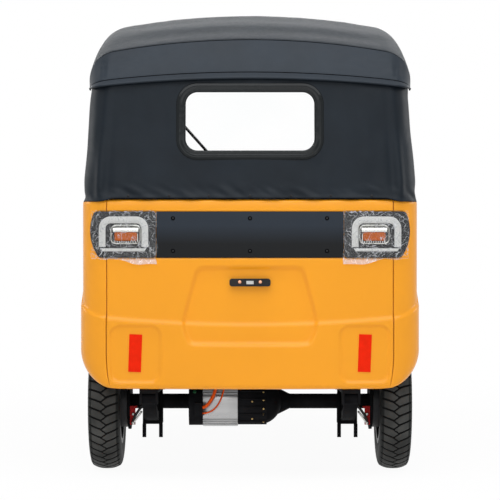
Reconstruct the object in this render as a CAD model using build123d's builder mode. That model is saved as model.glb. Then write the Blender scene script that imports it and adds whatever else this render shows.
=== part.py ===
from build123d import *
import os
from math import asin, atan2, cos, degrees, hypot, radians, sin, sqrt, tan

# An electric passenger tricycle: one steered front wheel, two driven rear wheels, an open cabin
# with a driver's seat and a rear bench, a painted rear body and a soft canopy over tube bows.
# Frame: x to the right, y forward, z up, with the origin on the ground under the middle.
# All sizes are in millimetres.

# Wheels and stance
WHEELBASE = 2000
TRACK = 1080
TYRE_RADIUS = 254
TYRE_WIDTH = 136
RIM_RADIUS = 152
RIM_WIDTH = 104
HUB_RADIUS = 46
REAR_OVERHANG = 400
MUDGUARD_GAP = 38
MUDGUARD_SKIN = 4
RUNNING_GAP = 0.05
FIT_GAP = 0.3

# Rear body panels
BODY_WIDTH = 1240
BELT_Z = 1017
SKIRT_Z = 334
BODY_SKIN = 8
LEDGE = 8
CORNER_RADIUS = 120
REAR_BOW = 20
TUCK_RADIUS = 140
TUCK_EASE = 0.7
CREASE_EASE = 2
ARCH_GAP = 50
QUARTER_LENGTH = 745
QUARTER_SILL_Z = 640
QUARTER_SWEEP = 150
QUARTER_CORNER = 180
SEAM_INSET = 100
CREASE_MID_Z = 565
CREASE_SEAM_Z = 590
CREASE_SIDE_Z = 637

# Rear lamps, band, recesses and reflectors
BAND_LOW_Z = 806
BAND_HIGH_Z = 973
LAMP_SPAN = 282
BAND_POCKET = 5
BAND_SCREW_INSET = 60
BAND_SCREW_Z = 59
BAND_SCREW_RADIUS = 8
LAMP_DEPTH = 60
LAMP_WIDTHS = (207, 240, 224)
LAMP_GAP = 2
LAMP_CORNER = 14
LAMP_PROUD = 4
RING_PROUD = 3
RING_INSET = 163
RING_SIZE = (180, 124)
RING_BAND = 22
RING_FOOT_Z = 842
RING_BAR = (150, 11)
INDICATOR_SIZE = (104, 66)
INDICATOR_Z = 888
PLATE_TOP_Z = 770
PLATE_FOOT_Z = 494
PLATE_TOP_HALF = 190
PLATE_MID_HALF = 246
PLATE_FOOT_HALF = 218
PLATE_FOOT_CORNER = 26
PLATE_TOP_CORNER = 34
PANEL_PRESSING = 5
PAD_SIZE = (180, 205)
PAD_INSET = 205
PAD_CORNER = 36
PAD_Z = 458
REFLECTOR_SIZE = (45, 136)
REFLECTOR_THICKNESS = 3
BRACKET_SIZE = (148, 28)
BRACKET_DEPTH = 12
BRACKET_BOW = 2
BRACKET_Z = 717
BRACKET_HOLE_SPAN = 74
BRACKET_HOLE_RADIUS = 3.5

# Canopy
HEIGHT = 1780
ROOF_ARC_RADIUS = 4000
ROOF_CROWN_RADIUS = 2850
ROOF_INSET = 30
ROOF_CORNER = 110
ROOF_DROP = 190
ROOF_SKIN = 6
ROOF_REAR_Y = -1180
ROOF_FRONT_Y = 850
RIDGE_DROP = 334
RIDGE_INSET = 70
RIDGE_CORNER = 60
CURTAIN_SKIN = 6
CURTAIN_TUCK = 16
CURTAIN_CORNER = 90
WINDOW_SIZE = (470, 216)
WINDOW_CORNER = 45
WINDOW_DROP = 146
WINDOW_BORDER = 32
BORDER_PROUD = 3
PANE_THICKNESS = 2
BOW_DEPTH = 22
BOW_WIDTH = 26
POST_RADIUS = 14
POST_INSET = 72
MID_POST_Y = -20
HOUSING_SKIN = 6
BOW_YS = (820, 400, -20, -450, -880, -1150)
RAIL_BAR = (48, 18)
RAIL_DROP = 170

# Chassis, floor and front
FLOOR_Z = 385
FLOOR_SKIN = 8
RAIL_X = 375
RAIL_INSET = 60
FLOOR_INSET = 40
RAIL_SIZE = (40, 56)
SILL_SIZE = (44, 60)
FLOOR_STEP_Y = -600
HOUSING_GAP = 36
HOUSING_FOOT_Z = 334
CROSS_YS = (-1262, -600, 40, 700)
CROSS_SIZE = 40
TIE_EYE_RADIUS = 26
TIE_EYE_BORE = 12
TIE_EYE_WIDTH = 20
TIE_EYE_Y = 730
TIE_EYE_Z = 272
RAIL_FRONT_Y = 756
HANGER_SKIN = 8
HANGER_LENGTH = 52
NECK_SIZE = (60, 50)
NECK_Y = 720
BULKHEAD_Y = 690
COWL_TOP_Z = 1000
COWL_SKIN = 6
COWL_BOW = 25
COWL_SECTIONS = ((300, 475, 1110, 150), (650, 535, 1180, 150), (1000, 548, 1078, 90))
DASH_LID = 8
BULKHEAD_SKIN = 8
STEM_NOTCH = (120, 120)
WHEEL_DOOR_CORNER = 120
WHEEL_DOOR_HALF = 320
WHEEL_DOOR_Z = 610
WINDSCREEN_BASE_Y = 1050
WINDSCREEN_TOP_Y = 815
WINDSCREEN_DROP = 155
WINDSCREEN_HALF_LOW = 520
WINDSCREEN_HALF_HIGH = 470
WINDSCREEN_BORDER = 42
WINDSCREEN_DEPTH = 26
WINDSCREEN_CORNER = 50
WIPER_ANGLE = 130
WIPER_PIVOT_UP = 22
WIPER_REACH = 560
WIPER_BLADE = (340, 10, 16)
WIPER_ARM = (12, 8)
WIPER_PIVOT_RADIUS = 14
MIRROR_SIZE = (120, 34, 170)
MIRROR_X = 640
MIRROR_Y = 952
MIRROR_Z = 1235
MIRROR_ARM_RADIUS = 7
MIRROR_CORNER = 16
MIRROR_SEAT = 0.9
GLASS_THICKNESS = 6
HEADLAMP_RADIUS = 72
HEADLAMP_X = 330
HEADLAMP_Z = 790
HEADLAMP_DEPTH = 60
HEADLAMP_LENS = 14

# Steering
RAKE = 20
FORK_OFFSET = 45
FORK_LEG_X = 102
FORK_LEG_RADIUS = 20
STEM_RADIUS = 20
HEAD_RADIUS = 32
HEAD_LOW_Z = 640
HEAD_HIGH_Z = 800
CROWN_Z = 600
BAR_Z = 1060
BAR_RADIUS = 12
BAR_POINTS = ((0, 0, 22), (120, 0, 22), (230, -50, 50), (350, -80, 50))
BAR_BEND = 45
GRIP_RADIUS = 16
GRIP_LENGTH = 115
BAR_CLAMP = (70, 44, 22)
CROWN_SIZE = (244, 110, 30)
GUARD_START = -8
GUARD_SWEEP = 150
GUARD_FLANGE = 24

# Seats
BENCH_TOP_Z = 650
BENCH_INSET = 92
BENCH_FRONT_Y = -690
BENCH_REAR_Y = -1165
BENCH_BASE = (800, 440)
DRIVER_BASE = (400, 300)
SEAT_SKIN = 6
CUSHION_CORNER = 24
BACKREST_THICKNESS = 80
BACKREST_HEIGHT = 420
BATTERY_SIZE = (700, 340, 160)
CUSHION_THICKNESS = 85
DRIVER_SEAT_Y = 60
DRIVER_SEAT_DEPTH = 350
DRIVER_SEAT_HALF = 225
DRIVER_TOP_Z = 690

# Rear axle
AXLE_TUBE_RADIUS = 28
STUB_RADIUS = 17.5
DIFF_RADIUS = 82
DIFF_X = 25
MOTOR_RADIUS = 80
MOTOR_SETBACK = 128
MOTOR_LENGTH = 130
MOTOR_CAP = 52
SPRING_X = 368
SPRING_WIDTH = 50
SPRING_REACH = 330
SPRING_STACK = 36
SPRING_EYE_RADIUS = 20
SPRING_EYE_Z = 292
SPRING_SEAT = 6
SPRING_REST = 1.2
CLAMP_LENGTH = 72
CLAMP_PLATE = 12
U_BOLT_RADIUS = 6
PRONG_SIZE = (14, 50)
DRUM_X = 462
BACKPLATE_X = 450
BACKPLATE_SKIN = 10
FRONT_PIN_RADIUS = 10
FLANGE_RADIUS = 160
FLANGE_WIDTH = 6
TREAD_HALF = 58
TREAD_EDGE_RADIUS = 240
RIM_SKIN = 10
RIM_DISC_X = 20
RIM_HOLES = 8
RIM_HOLE_RING = 120
RIM_HOLE_RADIUS = 12
FRONT_HUB_HALF = 70
MOTOR_CORNER = 30
GLAND_SIZE = (30, 36, 50)
CABLE_RUNS = ((250, -120, 6), (228, -92, 3))
CABLE_LEAD = 40
LEAF = 10
BRAKE_CABLE_MID = (425, 262)
BRAKE_CABLE_TOP_X = 290
BRAKE_CABLE_LEAD = 60
GEARBOX_RADIUS = 76
GEARBOX_LEFT_X = -45
GEARBOX_RIGHT_X = 62
CONE_END_X = 150
CABLE_RADIUS = 6
CABLE_GAP = 12
BRAKE_BRACKET = (20, 10, 70)
BRAKE_CABLE_RADIUS = 5
DRUM_RADIUS = 98
BACKPLATE_RADIUS = 106

# Places that follow from the sizes above
LENGTH = REAR_OVERHANG + WHEELBASE + TYRE_RADIUS + MUDGUARD_GAP + MUDGUARD_SKIN
REAR_Y = -LENGTH / 2
REAR_AXLE_Y = REAR_Y + REAR_OVERHANG
FRONT_AXLE_Y = REAR_AXLE_Y + WHEELBASE
WHEEL_X = TRACK / 2
BODY_HALF = BODY_WIDTH / 2
SEAM_X = BODY_HALF - SEAM_INSET
BAND_HALF = BODY_HALF - LAMP_SPAN
BAND_SCREW_X = BAND_HALF - BAND_SCREW_INSET
RING_X = BODY_HALF - RING_INSET
PAD_X = BODY_HALF - PAD_INSET
POST_X = BODY_HALF - POST_INSET
BENCH_HALF = BODY_HALF - BENCH_INSET
QUARTER_FRONT_Y = REAR_Y + QUARTER_LENGTH
ARCH_RADIUS = TYRE_RADIUS + ARCH_GAP
INNER_FACE = LEDGE + BODY_SKIN
POCKET_FLOOR = LEDGE + BAND_POCKET
PRESSING_FLOOR = LEDGE + PANEL_PRESSING
BAND_MID_Z = (BAND_LOW_Z + BAND_HIGH_Z) / 2
ROOF_AXIS = Axis((0, 0, HEIGHT - ROOF_ARC_RADIUS), (1, 0, 0))
ROOF_HALF = BODY_HALF - ROOF_INSET
RIDGE_Z = HEIGHT - RIDGE_DROP
WINDOW_Z = RIDGE_Z - WINDOW_DROP
WINDSCREEN_TOP_Z = HEIGHT - WINDSCREEN_DROP
FLOOR_UNDER_Z = FLOOR_Z - FLOOR_SKIN
RAIL_FOOT_Z = FLOOR_UNDER_Z - RAIL_SIZE[1]
REAR_LIMIT = 2 * LENGTH

os.makedirs("parts", exist_ok=True)


def keep(piece, name):
    """Labels a finished piece and writes it as its own file."""
    piece.part.label = name
    export_step(piece.part, f"parts/{name}.step")


# Shared outlines of the rear body

def body_plan(inset):
    """Plan of the rear body, drawn in from its outermost face, open end at the cabin."""
    half = BODY_HALF - inset
    radius = CORNER_RADIUS - inset
    rear = REAR_Y + inset
    turn = rear + REAR_BOW
    centre = (half - radius, turn + radius)
    mid = (centre[0] + radius * sin(radians(45)), centre[1] - radius * cos(radians(45)))
    with BuildSketch() as plan:
        with BuildLine():
            ThreePointArc((0, rear), ((half - radius) / 2, rear + REAR_BOW / 4), (half - radius, turn))
            ThreePointArc((half - radius, turn), mid, (half, turn + radius))
            Line((half, turn + radius), (half, QUARTER_FRONT_Y))
            Line((half, QUARTER_FRONT_Y), (0, QUARTER_FRONT_Y))
            mirror(about=Plane.YZ)
        make_face()
    return plan.sketch


def body_block(inset, low_z=SKIRT_Z, high_z=BELT_Z):
    """Solid body between two heights, its outer face drawn in by inset."""
    with BuildPart() as block:
        with BuildSketch(Plane.XY.offset(low_z)):
            add(body_plan(inset))
        extrude(amount=high_z - low_z)
    return block.part


def body_layer(outer, inner, rear_outline):
    """The layer between two insets of the body's face, cut to an outline seen from behind."""
    with BuildPart() as layer:
        add(body_block(outer))
        add(body_block(inner), mode=Mode.SUBTRACT)
        with BuildSketch(Plane.XZ.offset(-(REAR_Y + CORNER_RADIUS))):
            add(rear_outline)
        extrude(amount=REAR_LIMIT, mode=Mode.INTERSECT)
    return layer.part


def rear_rectangle(x, z, size, radius):
    """A rounded rectangle seen from behind."""
    with BuildSketch() as outline:
        with Locations((x, z)):
            RectangleRounded(size[0], size[1], radius)
    return outline.sketch


def tuck_outline(inset):
    """The body seen from behind, with its lower corners rounded under."""
    with BuildSketch() as outline:
        with Locations((0, SKIRT_Z)):
            Rectangle(2 * (BODY_HALF - inset + TUCK_EASE), 2 * BELT_Z, align=(Align.CENTER, Align.MIN))
        fillet(outline.vertices().group_by(Axis.Y)[0], radius=TUCK_RADIUS - inset)
    return outline.sketch


def below_crease():
    """What lies under the pressed line that dips at the middle, seen from behind."""
    low_z = SKIRT_Z - TUCK_RADIUS
    edge_x = 2 * BODY_HALF
    side_x = BODY_HALF - CREASE_EASE
    turn = ((SEAM_X + BODY_HALF) / 2, (CREASE_SEAM_Z + CREASE_SIDE_Z) / 2 - SEAM_INSET / 12)
    with BuildSketch() as outline:
        with BuildLine():
            ThreePointArc((-SEAM_X, CREASE_SEAM_Z), (0, CREASE_MID_Z), (SEAM_X, CREASE_SEAM_Z))
            ThreePointArc((SEAM_X, CREASE_SEAM_Z), turn, (side_x, CREASE_SIDE_Z))
            Polyline((side_x, CREASE_SIDE_Z), (edge_x, CREASE_SIDE_Z), (edge_x, low_z),
                     (-edge_x, low_z), (-edge_x, CREASE_SIDE_Z), (-side_x, CREASE_SIDE_Z))
            ThreePointArc((-side_x, CREASE_SIDE_Z), (-turn[0], turn[1]), (-SEAM_X, CREASE_SEAM_Z))
        make_face()
    return outline.sketch


def lamp_outline(gap):
    """Right-hand lamp seen from behind, with a bowed outer edge, drawn in by gap."""
    inner_x = BAND_HALF + LAMP_GAP
    foot_x, mid_x, head_x = [inner_x + width for width in LAMP_WIDTHS]
    with BuildSketch() as outline:
        with BuildLine():
            ThreePointArc((foot_x, BAND_LOW_Z), (mid_x, BAND_MID_Z), (head_x, BAND_HIGH_Z))
            Polyline((head_x, BAND_HIGH_Z), (inner_x, BAND_HIGH_Z), (inner_x, BAND_LOW_Z), (foot_x, BAND_LOW_Z))
        make_face()
        fillet(outline.vertices(), radius=LAMP_CORNER)
        if gap:
            offset(amount=-gap)
    return outline.sketch


def plate_outline():
    """The pressed place for the number plate: a wide-footed shape across the crease."""
    with BuildSketch() as outline:
        Polygon((-PLATE_TOP_HALF, PLATE_TOP_Z), (-PLATE_MID_HALF, CREASE_MID_Z),
                (-PLATE_FOOT_HALF, PLATE_FOOT_Z), (PLATE_FOOT_HALF, PLATE_FOOT_Z),
                (PLATE_MID_HALF, CREASE_MID_Z), (PLATE_TOP_HALF, PLATE_TOP_Z), align=None)
        fillet(outline.vertices().group_by(Axis.Y)[0], radius=PLATE_FOOT_CORNER)
        fillet(outline.vertices().group_by(Axis.Y)[-1], radius=PLATE_TOP_CORNER)
    return outline.sketch


def quarter_outline():
    """The rear body seen from the side: its front edge sweeps back up to the belt."""
    with BuildSketch() as outline:
        Polygon((REAR_Y - LEDGE, 0), (QUARTER_FRONT_Y, 0), (QUARTER_FRONT_Y, QUARTER_SILL_Z),
                (QUARTER_FRONT_Y - QUARTER_SWEEP, BELT_Z + LEDGE), (REAR_Y - LEDGE, BELT_Z + LEDGE),
                align=None)
        sill = outline.vertices().filter_by_position(Axis.Y, QUARTER_SILL_Z - 1, QUARTER_SILL_Z + 1)
        fillet(sill, radius=QUARTER_CORNER)
    return outline.sketch


# Rear body: one pressed shell, then cut into the middle panel and the two corners

LAMP_CUT = body_layer(0, INNER_FACE + 1, lamp_outline(0))
POCKET_SIZE = (2 * BAND_HALF + LEDGE, BAND_HIGH_Z - BAND_LOW_Z)
BAND_CUT = body_layer(0, POCKET_FLOOR, rear_rectangle(0, BAND_MID_Z, POCKET_SIZE, 2))
PLATE_CUT = body_layer(0, PRESSING_FLOOR, plate_outline())
PAD_CUT = body_layer(0, PANEL_PRESSING, rear_rectangle(PAD_X, PAD_Z, PAD_SIZE, PAD_CORNER))
LOWER_BLOCK = body_block(0)
UPPER_BLOCK = body_block(LEDGE)
HOLLOW_BLOCK = body_block(INNER_FACE)

with BuildPart() as rear_shell:
    add(LOWER_BLOCK)
    with BuildSketch(Plane.XZ):
        add(below_crease())
    extrude(amount=REAR_LIMIT, both=True, mode=Mode.INTERSECT)
    add(UPPER_BLOCK)
    with BuildSketch(Plane.XZ):
        add(tuck_outline(0))
    extrude(amount=REAR_LIMIT, both=True, mode=Mode.INTERSECT)
    with BuildSketch(Plane.YZ):
        add(quarter_outline())
    extrude(amount=REAR_LIMIT, both=True, mode=Mode.INTERSECT)

with BuildPart() as rear_hollow:
    add(HOLLOW_BLOCK)
    with BuildSketch(Plane.XZ):
        add(tuck_outline(INNER_FACE))
        with Locations((0, SKIRT_Z)):
            Rectangle(2 * SEAM_X, BELT_Z)
    extrude(amount=REAR_LIMIT, both=True, mode=Mode.INTERSECT)

with BuildPart() as pressed_shell:
    add(rear_shell.part)
    add(rear_hollow.part, mode=Mode.SUBTRACT)
    for cut in (LAMP_CUT, LAMP_CUT.mirror(Plane.YZ), PAD_CUT, PAD_CUT.mirror(Plane.YZ), BAND_CUT, PLATE_CUT):
        add(cut, mode=Mode.SUBTRACT)
    with BuildSketch(Plane.YZ):
        with Locations((REAR_AXLE_Y, TYRE_RADIUS)):
            Circle(ARCH_RADIUS)
    extrude(amount=REAR_LIMIT, both=True, mode=Mode.SUBTRACT)

with BuildPart() as rear_panel:
    add(pressed_shell.part)
    with Locations((0, 0, BELT_Z)):
        Box(2 * SEAM_X - FIT_GAP, REAR_LIMIT, 2 * BELT_Z, mode=Mode.INTERSECT)
keep(rear_panel, "rear_panel")

for name, side in (("left", -1), ("right", 1)):
    with BuildPart() as corner_panel:
        add(pressed_shell.part)
        with Locations((side * (SEAM_X + BODY_WIDTH / 2), 0, BELT_Z)):
            Box(BODY_WIDTH - FIT_GAP, REAR_LIMIT, 2 * BELT_Z, mode=Mode.INTERSECT)
    keep(corner_panel, f"corner_panel_{name}")

# Black band between the lamps, with six sunk screw places

def band_screws():
    """Six round places on the band, seen from behind."""
    with BuildSketch() as outline:
        with Locations((0, BAND_MID_Z)):
            with GridLocations(BAND_SCREW_X, 2 * BAND_SCREW_Z, 3, 2):
                Circle(BAND_SCREW_RADIUS)
    return outline.sketch


BAND_HEIGHT = BAND_HIGH_Z - BAND_LOW_Z - 2 * FIT_GAP
BAND_OUTLINE = rear_rectangle(0, BAND_MID_Z, (2 * BAND_HALF, BAND_HEIGHT), 2)
BAND_PLATE = body_layer(LEDGE - 1, POCKET_FLOOR - FIT_GAP, BAND_OUTLINE)
SCREW_CUT = body_layer(0, LEDGE + 2, band_screws())
with BuildPart() as tail_band:
    add(BAND_PLATE)
    add(SCREW_CUT, mode=Mode.SUBTRACT)
keep(tail_band, "tail_band")

# Rear lamps: housings in their openings, light rings and indicator lenses on their faces
LAMP_FACE = LEDGE - LAMP_PROUD
RING_FACE = LAMP_FACE - RING_PROUD
LAMP_BLOCK = body_layer(LAMP_FACE, LAMP_DEPTH, lamp_outline(FIT_GAP))


def ring_outline():
    """Light guide of one lamp: an arch open at the foot, and a bar under it."""
    ring_z = RING_FOOT_Z + RING_SIZE[1] / 2 - RING_BAND / 2
    with BuildSketch() as outline:
        with Locations((RING_X, ring_z)):
            RectangleRounded(RING_SIZE[0], RING_SIZE[1], RING_SIZE[1] * 0.4)
            RectangleRounded(RING_SIZE[0] - 2 * RING_BAND, RING_SIZE[1] - 2 * RING_BAND,
                             RING_SIZE[1] * 0.4 - RING_BAND, mode=Mode.SUBTRACT)
        with Locations((RING_X, RING_FOOT_Z)):
            Rectangle(RING_SIZE[0], RING_SIZE[1], align=(Align.CENTER, Align.MAX), mode=Mode.SUBTRACT)
        with Locations((RING_X, RING_FOOT_Z - 3)):
            Rectangle(RING_BAR[0], RING_BAR[1], align=(Align.CENTER, Align.MAX))
    return outline.sketch


RING_BLOCK = body_layer(RING_FACE, LAMP_FACE, ring_outline())
INDICATOR_BLOCK = body_layer(RING_FACE, LAMP_FACE, rear_rectangle(RING_X, INDICATOR_Z, INDICATOR_SIZE, 20))
REFLECTOR_FACE = PANEL_PRESSING - REFLECTOR_THICKNESS
REFLECTOR_OUTLINE = rear_rectangle(PAD_X, PAD_Z, REFLECTOR_SIZE, 2)
REFLECTOR_BLOCK = body_layer(REFLECTOR_FACE, PANEL_PRESSING - 0.1, REFLECTOR_OUTLINE)
for block, name in ((LAMP_BLOCK, "tail_lamp_housings"), (RING_BLOCK, "tail_lamp_rings"),
                    (INDICATOR_BLOCK, "indicator_lenses"), (REFLECTOR_BLOCK, "rear_reflectors")):
    with BuildPart() as lamp_pair:
        add(block)
        mirror(about=Plane.YZ)
    keep(lamp_pair, name)

# Number plate bracket, in the pressed place, with two screw holes
BRACKET_BACK_Y = REAR_Y + PRESSING_FLOOR + BRACKET_BOW
with BuildPart() as plate_bracket:
    with BuildSketch(Plane.XZ.offset(-BRACKET_BACK_Y)):
        with Locations((0, BRACKET_Z)):
            RectangleRounded(BRACKET_SIZE[0], BRACKET_SIZE[1], BRACKET_SIZE[1] / 3)
            with GridLocations(BRACKET_HOLE_SPAN, 1, 2, 1):
                Circle(BRACKET_HOLE_RADIUS, mode=Mode.SUBTRACT)
    extrude(amount=BRACKET_DEPTH)
    add(body_block(PRESSING_FLOOR), mode=Mode.SUBTRACT)
keep(plate_bracket, "plate_bracket")

# Canopy roof: a crowned section carried round a long arc, then closed down to a ridge at the back

def roof_points(depth):
    """Right half of the roof's section, drawn in by depth: hem, side top, corner, crown end, crown."""
    side = ROOF_HALF - depth
    corner = ROOF_CORNER - depth
    crown = ROOF_CROWN_RADIUS - depth
    corner_x = ROOF_HALF - ROOF_CORNER
    reach = sqrt((ROOF_CROWN_RADIUS - ROOF_CORNER) ** 2 - corner_x ** 2)
    corner_h = reach - ROOF_CROWN_RADIUS
    lean = atan2(reach, corner_x)
    corner_mid = (corner_x + corner * cos(lean / 2), corner_h + corner * sin(lean / 2))
    crown_end = (crown * cos(lean), crown * sin(lean) - ROOF_CROWN_RADIUS)
    return (side, -ROOF_DROP), (side, corner_h), corner_mid, crown_end, (0, -depth)


def section_band(outer, inner):
    """Closes two half outlines, each of five points, into one mirrored band."""
    with BuildSketch() as band:
        with BuildLine():
            for points in (outer, inner):
                foot, side_top, corner_mid, crown_end, crown = points
                left = [(-x, h) for x, h in points]
                Line(left[0], left[1])
                ThreePointArc(left[1], left[2], left[3])
                ThreePointArc(left[3], crown, crown_end)
                ThreePointArc(crown_end, corner_mid, side_top)
                Line(side_top, foot)
            for side in (-1, 1):
                Line((side * outer[0][0], outer[0][1]), (side * inner[0][0], inner[0][1]))
        make_face()
    return band.sketch


def roof_plane(y):
    """Plane of the roof's section where its arc passes y, with heights from the arc's top."""
    turn = asin(y / ROOF_ARC_RADIUS)
    out = Vector(0, sin(turn), cos(turn))
    return Plane(ROOF_AXIS.position + out * ROOF_ARC_RADIUS, x_dir=(1, 0, 0), z_dir=(0, -cos(turn), sin(turn)))


def roof_sweep(sketch, front_y, rear_y):
    """Carries a section of the roof round its long arc, from front_y back to rear_y."""
    turn = degrees(asin(front_y / ROOF_ARC_RADIUS) - asin(rear_y / ROOF_ARC_RADIUS))
    with BuildPart() as swept:
        with BuildSketch(roof_plane(front_y)):
            add(sketch)
        revolve(axis=ROOF_AXIS, revolution_arc=turn)
    return swept.part


def canopy_plan(half, rear_y, front_y, corner):
    """Right half of the canopy's plan from its side front round the corner to the rear middle, y turned back."""
    turn_y = rear_y + REAR_BOW + corner
    mid = (half - corner * (1 - cos(radians(45))), -(turn_y - corner * sin(radians(45))))
    return (half, -front_y), (half, -turn_y), mid, (half - corner, -(rear_y + REAR_BOW)), (0, -rear_y)


RIDGE_PLANE = Plane((0, 0, RIDGE_Z + FIT_GAP), x_dir=(1, 0, 0), z_dir=(0, 0, -1))
RIDGE_Y = REAR_Y + RIDGE_INSET
ROOF_BAND = section_band(roof_points(0), roof_points(ROOF_SKIN))
RIDGE_BAND = section_band(
    canopy_plan(ROOF_HALF, RIDGE_Y, ROOF_REAR_Y, RIDGE_CORNER),
    canopy_plan(ROOF_HALF - ROOF_SKIN, RIDGE_Y + ROOF_SKIN, ROOF_REAR_Y, RIDGE_CORNER - ROOF_SKIN))
with BuildPart() as roof_back:
    with BuildSketch(roof_plane(ROOF_REAR_Y)):
        add(ROOF_BAND)
    with BuildSketch(RIDGE_PLANE):
        add(RIDGE_BAND)
    loft(ruled=True)
ROOF_TOP = roof_sweep(ROOF_BAND, ROOF_FRONT_Y, ROOF_REAR_Y)
with BuildPart() as canopy_roof:
    add(ROOF_TOP)
    add(roof_back.part)
keep(canopy_roof, "canopy_roof")

# Rear curtain: wraps the back and the quarters, from the belt up under the roof's hem
CURTAIN_LOW_Z = BELT_Z + FIT_GAP
CURTAIN_HIGH_Z = RIDGE_Z + ROOF_DROP
CURTAIN_FRONT_Y = QUARTER_FRONT_Y - QUARTER_SWEEP
CURTAIN_LOW = (BODY_HALF - LEDGE - 2, REAR_Y + LEDGE + 2)
CURTAIN_RIDGE = (ROOF_HALF - ROOF_SKIN - 3, RIDGE_Y + ROOF_SKIN + FIT_GAP)


def curtain_points(z, depth):
    """Half plan of the curtain at a height, drawn in by depth. It leans in on the way up."""
    rise = (z - CURTAIN_LOW_Z) / (RIDGE_Z - CURTAIN_LOW_Z)
    half = CURTAIN_LOW[0] + rise * (CURTAIN_RIDGE[0] - CURTAIN_LOW[0])
    rear_y = CURTAIN_LOW[1] + rise * (CURTAIN_RIDGE[1] - CURTAIN_LOW[1])
    return canopy_plan(half - depth, rear_y + depth, CURTAIN_FRONT_Y, CURTAIN_CORNER - depth)


def curtain_layer(outer, inner):
    """The curtain's wall between two depths, from the belt to above the ridge."""
    with BuildPart() as layer:
        for z in (CURTAIN_LOW_Z, CURTAIN_HIGH_Z):
            with BuildSketch(Plane((0, 0, z), x_dir=(1, 0, 0), z_dir=(0, 0, -1))):
                add(section_band(curtain_points(z, outer), curtain_points(z, inner)))
        loft(ruled=True)
    return layer.part


def roof_z(y, drop):
    """Height of the roof's arc at y, drop below its top line."""
    return ROOF_AXIS.position.Z + sqrt((ROOF_ARC_RADIUS - drop) ** 2 - y ** 2)


def cut_from_behind(outline, part):
    """Keeps what an outline covers, seen from behind, of the back of a part."""
    with BuildPart() as piece:
        add(part)
        with BuildSketch(Plane.XZ.offset(-(RIDGE_Y + CURTAIN_CORNER))):
            add(outline)
        extrude(amount=REAR_LIMIT, mode=Mode.INTERSECT)
    return piece.part


CURTAIN_WALL = curtain_layer(0, CURTAIN_SKIN)
BORDER_LAYER = curtain_layer(-BORDER_PROUD, 0)
PANE_LAYER = curtain_layer(CURTAIN_SKIN / 2 - PANE_THICKNESS / 2, CURTAIN_SKIN / 2 + PANE_THICKNESS / 2)
CURTAIN_DROP = ROOF_DROP - CURTAIN_TUCK
CURTAIN_STEP_Y = ROOF_REAR_Y
CURTAIN_MID_Y = (CURTAIN_STEP_Y + CURTAIN_FRONT_Y) / 2
WINDOW_HOLE = rear_rectangle(0, WINDOW_Z, WINDOW_SIZE, WINDOW_CORNER)
with BuildPart() as canopy_rear:
    add(CURTAIN_WALL)
    with BuildSketch(Plane.YZ):
        with BuildLine():
            Polyline((CURTAIN_STEP_Y, roof_z(CURTAIN_STEP_Y, CURTAIN_DROP)), (CURTAIN_STEP_Y, RIDGE_Z),
                     (REAR_Y, RIDGE_Z), (REAR_Y, 0), (CURTAIN_FRONT_Y, 0),
                     (CURTAIN_FRONT_Y, roof_z(CURTAIN_FRONT_Y, CURTAIN_DROP)))
            ThreePointArc((CURTAIN_FRONT_Y, roof_z(CURTAIN_FRONT_Y, CURTAIN_DROP)),
                          (CURTAIN_MID_Y, roof_z(CURTAIN_MID_Y, CURTAIN_DROP)),
                          (CURTAIN_STEP_Y, roof_z(CURTAIN_STEP_Y, CURTAIN_DROP)))
        make_face()
    extrude(amount=REAR_LIMIT, both=True, mode=Mode.INTERSECT)
    with BuildSketch(Plane.XZ.offset(-(RIDGE_Y + CURTAIN_CORNER))):
        add(WINDOW_HOLE)
    extrude(amount=REAR_LIMIT, mode=Mode.SUBTRACT)
keep(canopy_rear, "canopy_rear")

# Rear window: a clear pane in the curtain, and a glossy border sewn round it
with BuildSketch() as border_ring:
    add(rear_rectangle(0, WINDOW_Z, (WINDOW_SIZE[0] + 2 * WINDOW_BORDER, WINDOW_SIZE[1] + 2 * WINDOW_BORDER),
                       WINDOW_CORNER + WINDOW_BORDER))
    add(WINDOW_HOLE, mode=Mode.SUBTRACT)
with BuildPart() as rear_window_border:
    add(cut_from_behind(border_ring.sketch, BORDER_LAYER))
keep(rear_window_border, "rear_window_border")

PANE_SIZE = (WINDOW_SIZE[0] - 2 * FIT_GAP, WINDOW_SIZE[1] - 2 * FIT_GAP)
with BuildPart() as rear_window_pane:
    add(cut_from_behind(rear_rectangle(0, WINDOW_Z, PANE_SIZE, WINDOW_CORNER - FIT_GAP), PANE_LAYER))
keep(rear_window_pane, "rear_window_pane")

# Canopy frame: cross bows under the roof, side rails along it and four posts
FRAME_FACE = ROOF_SKIN + FIT_GAP
RAIL_OUTER_X = ROOF_HALF - FRAME_FACE


def bow_points(depth):
    """The roof's half section at a depth, with its foot lifted to the rails."""
    foot, *rest = roof_points(depth)
    return ((foot[0], -RAIL_DROP), *rest)


BOW_BAND = section_band(bow_points(FRAME_FACE), bow_points(FRAME_FACE + BOW_DEPTH))
BOWS = [roof_sweep(BOW_BAND, y, y - BOW_WIDTH) for y in BOW_YS]
with BuildSketch() as rail_pair:
    with Locations((RAIL_OUTER_X - RAIL_BAR[0] / 2, -RAIL_DROP), (-RAIL_OUTER_X + RAIL_BAR[0] / 2, -RAIL_DROP)):
        Rectangle(RAIL_BAR[0], RAIL_BAR[1], align=(Align.CENTER, Align.MIN))
RAILS = roof_sweep(rail_pair.sketch, BOW_YS[0], BOW_YS[-1] - BOW_WIDTH)
HOUSING_RADIUS = ARCH_RADIUS + HOUSING_SKIN
REAR_POST_Y = CURTAIN_FRONT_Y + POST_RADIUS
REAR_POST_Z = TYRE_RADIUS + FIT_GAP + sqrt(HOUSING_RADIUS ** 2 - (REAR_POST_Y - POST_RADIUS - REAR_AXLE_Y) ** 2)
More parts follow.
